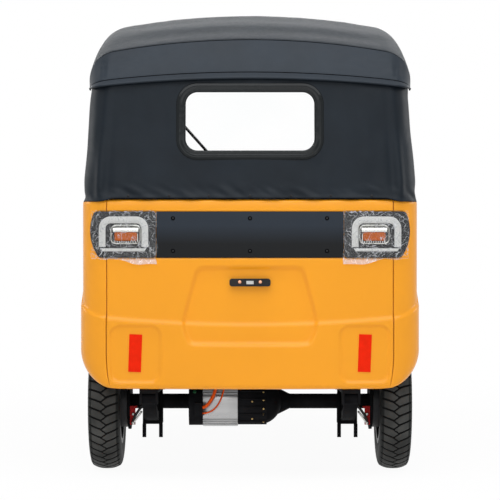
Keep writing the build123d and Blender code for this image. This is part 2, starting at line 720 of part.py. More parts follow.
with BuildPart() as canopy_frame:
    add(RAILS)
    for bow in BOWS:
        add(bow)
    for y, foot_z in ((REAR_POST_Y, REAR_POST_Z), (MID_POST_Y, FLOOR_Z)):
        with Locations((POST_X, y, foot_z), (-POST_X, y, foot_z)):
            Cylinder(POST_RADIUS, roof_z(y, RAIL_DROP - RAIL_BAR[1] / 2) - foot_z,
                     align=(Align.CENTER, Align.CENTER, Align.MIN))
keep(canopy_frame, "canopy_frame")

# Wheels: tyres turned about the axle line, rims with drum and hub

def across(x_start, x_end, y, z, radius):
    """A round bar along x between two places."""
    with BuildPart() as bar:
        with BuildSketch(Plane((x_start, y, z), x_dir=(0, 1, 0), z_dir=(1, 0, 0))):
            Circle(radius)
        extrude(amount=x_end - x_start)
    return bar.part


TYRE_HALF = TYRE_WIDTH / 2
BEAD_HALF = RIM_WIDTH / 2 - 2
BEAD_RADIUS = RIM_RADIUS + FIT_GAP
with BuildPart() as tyre_shape:
    with BuildSketch(Plane.XY):
        with BuildLine():
            for side in (-1, 1):
                Polyline((side * BEAD_HALF, BEAD_RADIUS), (side * BEAD_HALF, FLANGE_RADIUS + 2))
                ThreePointArc((side * BEAD_HALF, FLANGE_RADIUS + 2),
                              (side * TYRE_HALF, (FLANGE_RADIUS + TYRE_RADIUS) / 2),
                              (side * TREAD_HALF, TREAD_EDGE_RADIUS))
            Line((-BEAD_HALF, BEAD_RADIUS), (BEAD_HALF, BEAD_RADIUS))
            ThreePointArc((-TREAD_HALF, TREAD_EDGE_RADIUS), (0, TYRE_RADIUS), (TREAD_HALF, TREAD_EDGE_RADIUS))
        make_face()
    revolve(axis=Axis.X)


def rim_barrel():
    """The barrel and flanges that hold a tyre, about the origin along x."""
    with BuildPart() as barrel:
        add(across(-RIM_WIDTH / 2, RIM_WIDTH / 2, 0, 0, RIM_RADIUS))
        for side in (-1, 1):
            flange_x = BEAD_HALF + FIT_GAP
            add(across(side * flange_x, side * (flange_x + FLANGE_WIDTH), 0, 0, FLANGE_RADIUS))
        add(across(-TYRE_WIDTH, TYRE_WIDTH, 0, 0, RIM_RADIUS - RIM_SKIN), mode=Mode.SUBTRACT)
    return barrel.part


with BuildPart() as rear_rim:
    add(rim_barrel())
    add(across(RIM_DISC_X, RIM_DISC_X + RIM_SKIN, 0, 0, RIM_RADIUS - 1))
    with BuildSketch(Plane.YZ):
        with PolarLocations(RIM_HOLE_RING, RIM_HOLES):
            Circle(RIM_HOLE_RADIUS)
    extrude(amount=TYRE_WIDTH, mode=Mode.SUBTRACT)
    add(across(DRUM_X - WHEEL_X, RIM_DISC_X, 0, 0, DRUM_RADIUS))
    add(across(0, RIM_WIDTH / 2, 0, 0, HUB_RADIUS))
    add(across(-TYRE_WIDTH, TYRE_WIDTH, 0, 0, STUB_RADIUS + RUNNING_GAP), mode=Mode.SUBTRACT)

with BuildPart() as front_rim:
    add(rim_barrel())
    add(across(-RIM_SKIN / 2, RIM_SKIN / 2, 0, 0, RIM_RADIUS - 1))
    with BuildSketch(Plane.YZ.offset(-RIM_SKIN)):
        with PolarLocations(RIM_HOLE_RING, RIM_HOLES):
            Circle(RIM_HOLE_RADIUS)
    extrude(amount=2 * RIM_SKIN, mode=Mode.SUBTRACT)
    add(across(-FRONT_HUB_HALF, FRONT_HUB_HALF, 0, 0, HUB_RADIUS))
    add(across(-TYRE_WIDTH, TYRE_WIDTH, 0, 0, FRONT_PIN_RADIUS + RUNNING_GAP), mode=Mode.SUBTRACT)

for name, rim, x, y, turn in (("rear_left", rear_rim, -WHEEL_X, REAR_AXLE_Y, 180),
                              ("rear_right", rear_rim, WHEEL_X, REAR_AXLE_Y, 0),
                              ("front", front_rim, 0, FRONT_AXLE_Y, 0)):
    for kind, shape in (("tyre", tyre_shape), ("rim", rim)):
        with BuildPart() as wheel_piece:
            with Locations(Location((x, y, TYRE_RADIUS), (0, 0, turn))):
                add(shape.part)
        keep(wheel_piece, f"{kind}_{name}")

# Rear axle: tube, gearbox, brake back plates, stubs and spring seats in one casting
MOTOR_Y = REAR_AXLE_Y - MOTOR_SETBACK
MOTOR_RIGHT_X = GEARBOX_LEFT_X
MOTOR_LEFT_X = MOTOR_RIGHT_X - MOTOR_LENGTH
SEAT_Z = TYRE_RADIUS - AXLE_TUBE_RADIUS - SPRING_SEAT
SPRING_TOP_Z = SEAT_Z - SPRING_REST
SPRING_FOOT_Z = SPRING_TOP_Z - SPRING_STACK
with BuildPart() as axle_housing:
    add(across(-BACKPLATE_X, BACKPLATE_X, REAR_AXLE_Y, TYRE_RADIUS, AXLE_TUBE_RADIUS))
    with BuildSketch(Plane.YZ.offset(GEARBOX_LEFT_X)):
        with Locations(((REAR_AXLE_Y + MOTOR_Y) / 2, TYRE_RADIUS)):
            SlotCenterToCenter(MOTOR_SETBACK, 2 * GEARBOX_RADIUS)
    extrude(amount=GEARBOX_RIGHT_X - GEARBOX_LEFT_X)
    with Locations(Location(((GEARBOX_RIGHT_X + CONE_END_X) / 2, REAR_AXLE_Y, TYRE_RADIUS), (0, 90, 0))):
        Cone(DIFF_RADIUS - 10, AXLE_TUBE_RADIUS, CONE_END_X - GEARBOX_RIGHT_X)
    for side in (-1, 1):
        for end_x, radius in ((BACKPLATE_X + BACKPLATE_SKIN, BACKPLATE_RADIUS),
                              (WHEEL_X + RIM_WIDTH / 2, STUB_RADIUS)):
            add(across(side * BACKPLATE_X, side * end_x, REAR_AXLE_Y, TYRE_RADIUS, radius))
        with Locations((side * SPRING_X, REAR_AXLE_Y, SEAT_Z)):
            Box(SPRING_WIDTH, CLAMP_LENGTH, SPRING_SEAT + AXLE_TUBE_RADIUS,
                align=(Align.CENTER, Align.CENTER, Align.MIN))
keep(axle_housing, "axle_housing")

# Drive motor: a finned case behind the axle, bolted to the gearbox, with a black end cap
with BuildPart() as drive_motor:
    with BuildSketch(Plane.YZ.offset(MOTOR_RIGHT_X - FIT_GAP)):
        with Locations((MOTOR_Y, TYRE_RADIUS)):
            RectangleRounded(2 * MOTOR_RADIUS, 2 * MOTOR_RADIUS, MOTOR_CORNER)
    extrude(amount=-MOTOR_LENGTH)
keep(drive_motor, "drive_motor")

with BuildPart() as motor_cap:
    add(across(MOTOR_LEFT_X - MOTOR_CAP, MOTOR_LEFT_X - 2 * FIT_GAP, MOTOR_Y, TYRE_RADIUS, MOTOR_RADIUS - 2))
    gland_x = MOTOR_LEFT_X - GLAND_SIZE[0] / 2 - 2 * FIT_GAP
    with Locations((gland_x, MOTOR_Y - MOTOR_RADIUS, TYRE_RADIUS - CABLE_GAP)):
        Box(*GLAND_SIZE)
keep(motor_cap, "motor_cap")

# Motor cables: two runs from the cap's gland up to the floor
CABLE_Y = MOTOR_Y - MOTOR_RADIUS - 2 * CABLE_RADIUS
with BuildPart() as motor_cables:
    for start_z, bend_x, radius in CABLE_RUNS:
        with BuildLine() as run:
            start = (MOTOR_LEFT_X, CABLE_Y, start_z)
            Bezier(start, (bend_x - CABLE_LEAD, CABLE_Y, start_z), (bend_x, CABLE_Y, start_z + CABLE_LEAD),
                   (bend_x, CABLE_Y, FLOOR_UNDER_Z - FIT_GAP))
        with BuildSketch(Plane(start, x_dir=(0, 1, 0), z_dir=(1, 0, 0))):
            Circle(radius)
        sweep(path=run.line)
keep(motor_cables, "motor_cables")

# Leaf springs under the axle, each a tapered stack with an eye at either end
with BuildPart() as leaf_springs:
    for side in (-1, 1):
        with BuildSketch(Plane.YZ.offset(side * SPRING_X - SPRING_WIDTH / 2)):
            with BuildLine():
                front, back = REAR_AXLE_Y + SPRING_REACH, REAR_AXLE_Y - SPRING_REACH
                ThreePointArc((front, SPRING_EYE_Z), (REAR_AXLE_Y, SPRING_TOP_Z), (back, SPRING_EYE_Z))
                Line((back, SPRING_EYE_Z), (back, SPRING_EYE_Z - LEAF))
                ThreePointArc((back, SPRING_EYE_Z - LEAF), (REAR_AXLE_Y, SPRING_FOOT_Z),
                              (front, SPRING_EYE_Z - LEAF))
                Line((front, SPRING_EYE_Z - LEAF), (front, SPRING_EYE_Z))
            make_face()
            with Locations((front, SPRING_EYE_Z), (back, SPRING_EYE_Z)):
                Circle(SPRING_EYE_RADIUS)
        extrude(amount=SPRING_WIDTH)
keep(leaf_springs, "leaf_springs")

# Spring clamps: a plate under each stack, two hoops over the axle and two prongs below
CLAMP_TOP_Z = SPRING_FOOT_Z - FIT_GAP
HOOP_RADIUS = AXLE_TUBE_RADIUS + U_BOLT_RADIUS + FIT_GAP
HOOP_X = SPRING_WIDTH / 2 + U_BOLT_RADIUS + FIT_GAP
with BuildPart() as spring_clamps:
    for side in (-1, 1):
        with Locations((side * SPRING_X, REAR_AXLE_Y, CLAMP_TOP_Z)):
            Box(2 * (HOOP_X + U_BOLT_RADIUS), 2 * (HOOP_RADIUS + U_BOLT_RADIUS), CLAMP_PLATE,
                align=(Align.CENTER, Align.CENTER, Align.MAX))
        for x in (side * SPRING_X - HOOP_X, side * SPRING_X + HOOP_X):
            with BuildLine() as hoop:
                rear = (x, REAR_AXLE_Y - HOOP_RADIUS)
                front = (x, REAR_AXLE_Y + HOOP_RADIUS)
                Line((*rear, CLAMP_TOP_Z - CLAMP_PLATE / 2), (*rear, TYRE_RADIUS))
                ThreePointArc((*rear, TYRE_RADIUS), (x, REAR_AXLE_Y, TYRE_RADIUS + HOOP_RADIUS),
                              (*front, TYRE_RADIUS))
                Line((*front, TYRE_RADIUS), (*front, CLAMP_TOP_Z - CLAMP_PLATE / 2))
            with BuildSketch(Plane((*rear, CLAMP_TOP_Z - CLAMP_PLATE / 2))):
                Circle(U_BOLT_RADIUS)
            sweep(path=hoop.line)
            with Locations((x, REAR_AXLE_Y - HOOP_RADIUS, CLAMP_TOP_Z - CLAMP_PLATE)):
                Box(PRONG_SIZE[0], PRONG_SIZE[0], PRONG_SIZE[1], align=(Align.CENTER, Align.CENTER, Align.MAX))
keep(spring_clamps, "spring_clamps")

# Rear brakes: a lever bracket on each back plate and a cable up to the floor
BRACKET_Y = REAR_AXLE_Y - BACKPLATE_RADIUS + BRAKE_BRACKET[1]
BRACKET_TOP_Z = TYRE_RADIUS - 10
with BuildPart() as brake_brackets:
    for side in (-1, 1):
        with Locations((side * (BACKPLATE_X - FIT_GAP - BRAKE_BRACKET[0] / 2), BRACKET_Y, BRACKET_TOP_Z)):
            Box(*BRAKE_BRACKET, align=(Align.CENTER, Align.CENTER, Align.MAX))
keep(brake_brackets, "brake_brackets")

with BuildPart() as brake_cables:
    for side in (-1, 1):
        start = (side * (BACKPLATE_X - BRAKE_BRACKET[0] / 2),
                 BRACKET_Y - BRAKE_BRACKET[1] / 2 - FIT_GAP - BRAKE_CABLE_RADIUS,
                 BRACKET_TOP_Z - BRAKE_BRACKET[2] + BRAKE_CABLE_RADIUS)
        with BuildLine() as run:
            Bezier(start, (side * BRAKE_CABLE_MID[0], start[1], BRAKE_CABLE_MID[1]),
                   (side * BRAKE_CABLE_TOP_X, start[1], FLOOR_UNDER_Z - BRAKE_CABLE_LEAD),
                   (side * BRAKE_CABLE_TOP_X, start[1], FLOOR_UNDER_Z - FIT_GAP))
        with BuildSketch(Plane(start, z_dir=run.line % 0)):
            Circle(BRAKE_CABLE_RADIUS)
        sweep(path=run.line)
keep(brake_cables, "brake_cables")

# Steering axis: a raked line through the head tube, a little behind the front wheel's centre
STEER_DIRECTION = (0, -sin(radians(RAKE)), cos(radians(RAKE)))


def steer_plane(z):
    """Plane square to the steering axis where it passes a height, with x across and y forward."""
    y = FRONT_AXLE_Y - FORK_OFFSET - (z - TYRE_RADIUS) * tan(radians(RAKE))
    return Plane((0, y, z), x_dir=(1, 0, 0), z_dir=STEER_DIRECTION)


def steer_bar(low_z, high_z, radius, offsets=((0, 0),)):
    """Round bars along the steering axis between two heights, at offsets across and forward of it."""
    with BuildPart() as bar:
        with BuildSketch(steer_plane(low_z)):
            with Locations(*offsets):
                Circle(radius)
        extrude(amount=(high_z - low_z) / cos(radians(RAKE)))
    return bar.part


# Chassis frame: two rails, cross members, spring hangers, tie-down eyes and the neck up to the head tube
RAIL_REAR_Y = REAR_Y + RAIL_INSET
HANGER_HALF = SPRING_WIDTH / 2 + FIT_GAP + HANGER_SKIN
HANGER_TOP_Z = SPRING_EYE_Z + SPRING_EYE_RADIUS + FIT_GAP
with BuildPart() as chassis_frame:
    with Locations((RAIL_X, RAIL_REAR_Y, RAIL_FOOT_Z), (-RAIL_X, RAIL_REAR_Y, RAIL_FOOT_Z)):
        Box(RAIL_SIZE[0], RAIL_FRONT_Y - RAIL_REAR_Y, RAIL_SIZE[1], align=(Align.CENTER, Align.MIN, Align.MIN))
    for y in CROSS_YS:
        with Locations((0, y, FLOOR_UNDER_Z)):
            Box(2 * RAIL_X, CROSS_SIZE, CROSS_SIZE, align=(Align.CENTER, Align.CENTER, Align.MAX))
    for x in (SPRING_X, -SPRING_X):
        for y in (REAR_AXLE_Y + SPRING_REACH, REAR_AXLE_Y - SPRING_REACH):
            with Locations((x, y, HANGER_TOP_Z)):
                Box(2 * HANGER_HALF, HANGER_LENGTH, RAIL_SIZE[1] / 2,
                    align=(Align.CENTER, Align.CENTER, Align.MIN))
            with Locations((x - HANGER_HALF + HANGER_SKIN / 2, y, SPRING_EYE_Z - SPRING_EYE_RADIUS),
                           (x + HANGER_HALF - HANGER_SKIN / 2, y, SPRING_EYE_Z - SPRING_EYE_RADIUS)):
                Box(HANGER_SKIN, HANGER_LENGTH, 3 * SPRING_EYE_RADIUS,
                    align=(Align.CENTER, Align.CENTER, Align.MIN))
    for x in (RAIL_X, -RAIL_X):
        with Locations((x, TIE_EYE_Y, TIE_EYE_Z)):
            Box(TIE_EYE_WIDTH, 2 * TIE_EYE_RADIUS, RAIL_SIZE[1] + TIE_EYE_RADIUS,
                align=(Align.CENTER, Align.CENTER, Align.MIN))
        add(across(x - TIE_EYE_WIDTH / 2, x + TIE_EYE_WIDTH / 2, TIE_EYE_Y, TIE_EYE_Z, TIE_EYE_RADIUS))
        add(across(x - TIE_EYE_WIDTH, x + TIE_EYE_WIDTH, TIE_EYE_Y, TIE_EYE_Z, TIE_EYE_BORE),
            mode=Mode.SUBTRACT)
    head_y = steer_plane((HEAD_LOW_Z + HEAD_HIGH_Z) / 2).origin.Y
    with Locations((0, NECK_Y, FLOOR_UNDER_Z - CROSS_SIZE)):
        Box(NECK_SIZE[0], NECK_SIZE[1], HEAD_HIGH_Z - FLOOR_UNDER_Z,
            align=(Align.CENTER, Align.CENTER, Align.MIN))
    with Locations((0, NECK_Y, (HEAD_LOW_Z + HEAD_HIGH_Z) / 2)):
        Box(NECK_SIZE[0], head_y - NECK_Y, NECK_SIZE[1], align=(Align.CENTER, Align.MIN, Align.CENTER))
    add(steer_bar(HEAD_LOW_Z, HEAD_HIGH_Z, HEAD_RADIUS))
    add(steer_bar(CROWN_Z, BAR_Z, STEM_RADIUS + RUNNING_GAP), mode=Mode.SUBTRACT)
keep(chassis_frame, "chassis_frame")

# Floor pan, painted side sills and the housings over the rear wheels
FLOOR_REAR_Y = REAR_Y + FLOOR_INSET
BODY_INSIDE = BODY_HALF - INNER_FACE - FIT_GAP
HOUSING_INNER_X = WHEEL_X - TYRE_HALF - HOUSING_GAP
with BuildPart() as floor_pan:
    with Locations((0, FLOOR_REAR_Y, FLOOR_UNDER_Z)):
        Box(2 * (HOUSING_INNER_X - HOUSING_SKIN - FIT_GAP), BULKHEAD_Y - FLOOR_REAR_Y, FLOOR_SKIN,
            align=(Align.CENTER, Align.MIN, Align.MIN))
    with Locations((0, FLOOR_STEP_Y, FLOOR_UNDER_Z)):
        Box(2 * BODY_INSIDE, BULKHEAD_Y - FLOOR_STEP_Y, FLOOR_SKIN, align=(Align.CENTER, Align.MIN, Align.MIN))
keep(floor_pan, "floor_pan")

with BuildPart() as side_sills:
    with Locations((BODY_INSIDE, FLOOR_STEP_Y, FLOOR_UNDER_Z),
                   (-BODY_INSIDE + SILL_SIZE[0], FLOOR_STEP_Y, FLOOR_UNDER_Z)):
        Box(SILL_SIZE[0], BULKHEAD_Y - FLOOR_STEP_Y, SILL_SIZE[1], align=(Align.MAX, Align.MIN, Align.MAX))
keep(side_sills, "side_sills")

with BuildPart() as wheel_housings:
    for side in (-1, 1):
        inner_x = side * (HOUSING_INNER_X - HOUSING_SKIN)
        add(across(inner_x, side * BODY_INSIDE, REAR_AXLE_Y, TYRE_RADIUS, HOUSING_RADIUS))
        add(across(side * HOUSING_INNER_X, side * BODY_WIDTH, REAR_AXLE_Y, TYRE_RADIUS, ARCH_RADIUS),
            mode=Mode.SUBTRACT)
    with Locations((0, REAR_AXLE_Y, HOUSING_FOOT_Z)):
        Box(2 * BODY_WIDTH, LENGTH, LENGTH, align=(Align.CENTER, Align.CENTER, Align.MAX), mode=Mode.SUBTRACT)
    add(body_block(INNER_FACE + FIT_GAP), mode=Mode.INTERSECT)
    with BuildSketch(Plane.XZ):
        add(tuck_outline(INNER_FACE + FIT_GAP))
    extrude(amount=REAR_LIMIT, both=True, mode=Mode.INTERSECT)
keep(wheel_housings, "wheel_housings")

# Seats: a rear bench over the battery and a driver's seat on a box

def soft_block(size, corner, place):
    """A cushion with rounded edges that stands on a place."""
    with BuildPart() as block:
        with Locations(place):
            Box(*size, align=(Align.CENTER, Align.CENTER, Align.MIN))
        fillet(block.edges(), corner)
    return block.part


def seat_box(size, place):
    """A sheet box, open below and closed on top."""
    with BuildPart() as box:
        with Locations(place):
            Box(*size, align=(Align.CENTER, Align.CENTER, Align.MIN))
            Box(size[0] - 2 * SEAT_SKIN, size[1] - 2 * SEAT_SKIN, size[2] - SEAT_SKIN,
                align=(Align.CENTER, Align.CENTER, Align.MIN), mode=Mode.SUBTRACT)
    return box.part


BENCH_FOOT_Z = BENCH_TOP_Z - CUSHION_THICKNESS
BENCH_Y = (BENCH_FRONT_Y + BENCH_REAR_Y) / 2
DRIVER_FOOT_Z = DRIVER_TOP_Z - CUSHION_THICKNESS
for name, base_size, y, cushion_size, top_z in (
        ("passenger", BENCH_BASE, BENCH_Y, (2 * BENCH_HALF, BENCH_FRONT_Y - BENCH_REAR_Y), BENCH_TOP_Z),
        ("driver", DRIVER_BASE, DRIVER_SEAT_Y, (2 * DRIVER_SEAT_HALF, DRIVER_SEAT_DEPTH), DRIVER_TOP_Z)):
    foot_z = top_z - CUSHION_THICKNESS
    with BuildPart() as seat_piece:
        add(seat_box((*base_size, foot_z - FLOOR_Z - FIT_GAP), (0, y, FLOOR_Z)))
    keep(seat_piece, f"{name}_seat_base")
    with BuildPart() as seat_piece:
        add(soft_block((*cushion_size, CUSHION_THICKNESS), CUSHION_CORNER, (0, y, foot_z)))
    keep(seat_piece, f"{name}_cushion")
    back_y = y - cushion_size[1] / 2 + BACKREST_THICKNESS / 2
    with BuildPart() as seat_piece:
        add(soft_block((cushion_size[0], BACKREST_THICKNESS, BACKREST_HEIGHT), CUSHION_CORNER,
                       (0, back_y, top_z + FIT_GAP)))
    keep(seat_piece, f"{name}_backrest")

with BuildPart() as battery_pack:
    with Locations((0, BENCH_Y, FLOOR_Z)):
        Box(*BATTERY_SIZE, align=(Align.CENTER, Align.CENTER, Align.MIN))
keep(battery_pack, "battery_pack")

# Front cowl: a shell through three plan sections, open behind, with a doorway for the steered wheel

def cowl_plan(half, nose_y, corner, rear_y):
    """Plan of the cowl at one height, closed along its rear."""
    with BuildSketch() as plan:
        with BuildLine():
            turn_y = nose_y - COWL_BOW - corner
            for side in (-1, 1):
                Line((side * half, rear_y), (side * half, turn_y))
                ThreePointArc((side * half, turn_y),
                              (side * (half - corner * (1 - cos(radians(45)))), turn_y + corner * sin(radians(45))),
                              (side * (half - corner), turn_y + corner))
            ThreePointArc((corner - half, turn_y + corner), (0, nose_y), (half - corner, turn_y + corner))
            Line((-half, rear_y), (half, rear_y))
        make_face()
    return plan.sketch


def cowl_block(inset, rear_y):
    """The cowl's solid, drawn in by inset, closed along its rear."""
    with BuildPart() as block:
        for z, half, nose_y, corner in COWL_SECTIONS:
            with BuildSketch(Plane.XY.offset(z)):
                add(cowl_plan(half - inset, nose_y - inset, corner - inset, rear_y))
        loft()
    return block.part


with BuildPart() as front_cowl:
    add(cowl_block(0, BULKHEAD_Y))
    add(cowl_block(COWL_SKIN, BULKHEAD_Y - COWL_SKIN), mode=Mode.SUBTRACT)
    with BuildSketch(Plane.XZ.offset(-BULKHEAD_Y)):
        with Locations((0, WHEEL_DOOR_Z)):
            Rectangle(2 * WHEEL_DOOR_HALF, WHEEL_DOOR_Z, align=(Align.CENTER, Align.MAX))
    extrude(amount=-LENGTH, mode=Mode.SUBTRACT)
    with BuildSketch(Plane.XZ.offset(-BULKHEAD_Y)):
        with Locations((HEADLAMP_X, HEADLAMP_Z), (-HEADLAMP_X, HEADLAMP_Z)):
            Circle(HEADLAMP_RADIUS + FIT_GAP)
    extrude(amount=-LENGTH, mode=Mode.SUBTRACT)
keep(front_cowl, "front_cowl")

# Headlamps: round lamps set through the cowl, cut to follow its face
with BuildPart() as headlamps:
    with BuildSketch(Plane.XZ.offset(-BULKHEAD_Y)):
        with Locations((HEADLAMP_X, HEADLAMP_Z), (-HEADLAMP_X, HEADLAMP_Z)):
            Circle(HEADLAMP_RADIUS)
    extrude(amount=-LENGTH)
    add(cowl_block(-HEADLAMP_LENS, BULKHEAD_Y), mode=Mode.INTERSECT)
    add(cowl_block(HEADLAMP_DEPTH, BULKHEAD_Y - COWL_SKIN), mode=Mode.SUBTRACT)
keep(headlamps, "headlamps")

# Dashboard: a bulkhead behind the cowl and a lid over it, notched for the steering stem
LID_SECTION = COWL_SECTIONS[-1]
with BuildPart() as dashboard:
    with Locations((0, BULKHEAD_Y, FLOOR_Z + FIT_GAP)):
        Box(2 * LID_SECTION[1], BULKHEAD_SKIN, COWL_TOP_Z + DASH_LID - FLOOR_Z - FIT_GAP,
            align=(Align.CENTER, Align.MAX, Align.MIN))
    with BuildSketch(Plane.XY.offset(COWL_TOP_Z)):
        add(cowl_plan(LID_SECTION[1], LID_SECTION[2], LID_SECTION[3], BULKHEAD_Y - BULKHEAD_SKIN))
    extrude(amount=DASH_LID)
    with Locations((0, BULKHEAD_Y - 2 * BULKHEAD_SKIN, COWL_TOP_Z)):
        Box(STEM_NOTCH[0], STEM_NOTCH[1], 2 * STEM_NOTCH[1], align=(Align.CENTER, Align.MIN, Align.CENTER),
            mode=Mode.SUBTRACT)
keep(dashboard, "dashboard")

# Windscreen: a leaning frame on the lid, its glass and a wiper on the outside
SCREEN_BASE_Z = COWL_TOP_Z + DASH_LID
SCREEN_LEAN = Vector(0, WINDSCREEN_TOP_Y - WINDSCREEN_BASE_Y, WINDSCREEN_TOP_Z - SCREEN_BASE_Z)
SCREEN_NORMAL = Vector(1, 0, 0).cross(SCREEN_LEAN) * -1
SCREEN_PLANE = Plane((0, WINDSCREEN_BASE_Y, SCREEN_BASE_Z), x_dir=(-1, 0, 0), z_dir=SCREEN_NORMAL)


def screen_outline(inset):
    """The windscreen's outline in its own plane, drawn in by inset."""
    with BuildSketch() as outline:
        with BuildLine():
            high = SCREEN_LEAN.length - inset
            Polyline((inset - WINDSCREEN_HALF_LOW, inset), (WINDSCREEN_HALF_LOW - inset, inset),
                     (WINDSCREEN_HALF_HIGH - inset, high), (inset - WINDSCREEN_HALF_HIGH, high), close=True)
        make_face()
        fillet(outline.vertices(), WINDSCREEN_CORNER)
    return outline.sketch


SCREEN_OPENING = screen_outline(WINDSCREEN_BORDER)
with BuildPart() as windscreen_frame:
    with BuildSketch(SCREEN_PLANE):
        add(screen_outline(0))
        add(SCREEN_OPENING, mode=Mode.SUBTRACT)
    extrude(amount=-WINDSCREEN_DEPTH)
    with Locations((0, WINDSCREEN_BASE_Y, SCREEN_BASE_Z + FIT_GAP)):
        Box(BODY_WIDTH, LENGTH, LENGTH, align=(Align.CENTER, Align.CENTER, Align.MAX), mode=Mode.SUBTRACT)
keep(windscreen_frame, "windscreen_frame")

with BuildPart() as windscreen_glass:
    with BuildSketch(SCREEN_PLANE.offset(-WINDSCREEN_DEPTH / 2)):
        add(screen_outline(WINDSCREEN_BORDER + FIT_GAP))
    extrude(amount=GLASS_THICKNESS)
keep(windscreen_glass, "windscreen_glass")

WIPER_TURN = 180 - WIPER_ANGLE
with BuildPart() as wiper:
    with BuildSketch(SCREEN_PLANE.offset(FIT_GAP)):
        with Locations((0, WIPER_PIVOT_UP)):
            Circle(WIPER_PIVOT_RADIUS)
        with Locations(Location((0, WIPER_PIVOT_UP), (0, 0, WIPER_TURN))):
            Rectangle(WIPER_REACH, WIPER_ARM[0], align=(Align.MIN, Align.CENTER))
    extrude(amount=WIPER_ARM[1])
    with BuildSketch(SCREEN_PLANE.offset(FIT_GAP)):
        with Locations(Location((0, WIPER_PIVOT_UP), (0, 0, WIPER_TURN))):
            with Locations((WIPER_REACH, 0)):
                Rectangle(WIPER_BLADE[0], WIPER_BLADE[1], align=(Align.MAX, Align.CENTER))
    extrude(amount=FIT_GAP + GLASS_THICKNESS - WINDSCREEN_DEPTH / 2 + FIT_GAP)
keep(wiper, "wiper")

# Mirrors: one each side on an arm from the windscreen frame
with BuildPart() as mirrors:
    for side in (-1, 1):
        with BuildPart() as mirror:
            with Locations((side * MIRROR_X, MIRROR_Y, MIRROR_Z)):
                Box(*MIRROR_SIZE)
            fillet(mirror.edges().filter_by(Axis.Y), MIRROR_CORNER)
            lean_y = WINDSCREEN_BASE_Y + (MIRROR_Z - SCREEN_BASE_Z) * SCREEN_LEAN.Y / SCREEN_LEAN.Z
            frame_x = WINDSCREEN_HALF_LOW + (MIRROR_Z - SCREEN_BASE_Z) / SCREEN_LEAN.Z * (
                WINDSCREEN_HALF_HIGH - WINDSCREEN_HALF_LOW)
            add(across(side * (frame_x + MIRROR_SEAT), side * MIRROR_X, lean_y - WINDSCREEN_DEPTH / 2, MIRROR_Z,
                       MIRROR_ARM_RADIUS))
keep(mirrors, "mirrors")

# Steering: fork, stem and axle pin, then the handlebar and the mudguard that turn with them
LEG_FORWARD = FORK_OFFSET * cos(radians(RAKE))
with BuildPart() as front_fork:
    add(steer_bar(CROWN_Z, BAR_Z, STEM_RADIUS))
    with Locations(steer_plane(CROWN_Z)):
        with Locations((0, LEG_FORWARD / 2, 0)):
            Box(*CROWN_SIZE)
    add(steer_bar(TYRE_RADIUS - 2 * FORK_LEG_RADIUS, CROWN_Z, FORK_LEG_RADIUS,
                  ((FORK_LEG_X, LEG_FORWARD), (-FORK_LEG_X, LEG_FORWARD))))
    add(across(-FORK_LEG_X, FORK_LEG_X, FRONT_AXLE_Y, TYRE_RADIUS, FRONT_PIN_RADIUS))
keep(front_fork, "front_fork")

with BuildPart() as handlebar:
    bar_plane = steer_plane(BAR_Z)
    with Locations(bar_plane):
        with Locations((0, 0, FIT_GAP)):
            Box(*BAR_CLAMP, align=(Align.CENTER, Align.CENTER, Align.MIN))
    left_half = [(-x, y, z) for x, y, z in reversed(BAR_POINTS[1:])]
    with BuildLine(bar_plane) as bar_run:
        FilletPolyline(*left_half, *BAR_POINTS[1:], radius=BAR_BEND)
    with BuildSketch(Plane(bar_run.line @ 0, z_dir=bar_run.line % 0)):
        Circle(BAR_RADIUS)
    sweep(path=bar_run.line)
    with BuildSketch(Plane(bar_run.line @ 0, z_dir=bar_run.line % 0)):
        Circle(GRIP_RADIUS)
    extrude(amount=GRIP_LENGTH)
    with BuildSketch(Plane(bar_run.line @ 1, z_dir=bar_run.line % 1)):
        Circle(GRIP_RADIUS)
    extrude(amount=-GRIP_LENGTH)
keep(handlebar, "handlebar")

GUARD_RADIUS = TYRE_RADIUS + MUDGUARD_GAP
GUARD_HALF = FORK_LEG_X - FORK_LEG_RADIUS - FIT_GAP
START = radians(GUARD_START)
GUARD_PLANE = Plane((0, FRONT_AXLE_Y, TYRE_RADIUS), x_dir=(1, 0, 0), z_dir=(0, -sin(START), cos(START)))
with BuildPart() as front_mudguard:
    with BuildSketch(GUARD_PLANE):
        with Locations((0, GUARD_RADIUS)):
            Rectangle(2 * GUARD_HALF, MUDGUARD_SKIN, align=(Align.CENTER, Align.MIN))
        with Locations((GUARD_HALF - MUDGUARD_SKIN / 2, GUARD_RADIUS - GUARD_FLANGE),
                       (MUDGUARD_SKIN / 2 - GUARD_HALF, GUARD_RADIUS - GUARD_FLANGE)):
            Rectangle(MUDGUARD_SKIN, GUARD_FLANGE + MUDGUARD_SKIN, align=(Align.CENTER, Align.MIN))
    revolve(axis=Axis((0, FRONT_AXLE_Y, TYRE_RADIUS), (1, 0, 0)), revolution_arc=GUARD_SWEEP)
keep(front_mudguard, "front_mudguard")
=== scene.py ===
import bmesh
import bpy
from math import asin, atan2, cos, exp, hypot, log, pi, radians, sin, sqrt
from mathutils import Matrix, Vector, noise


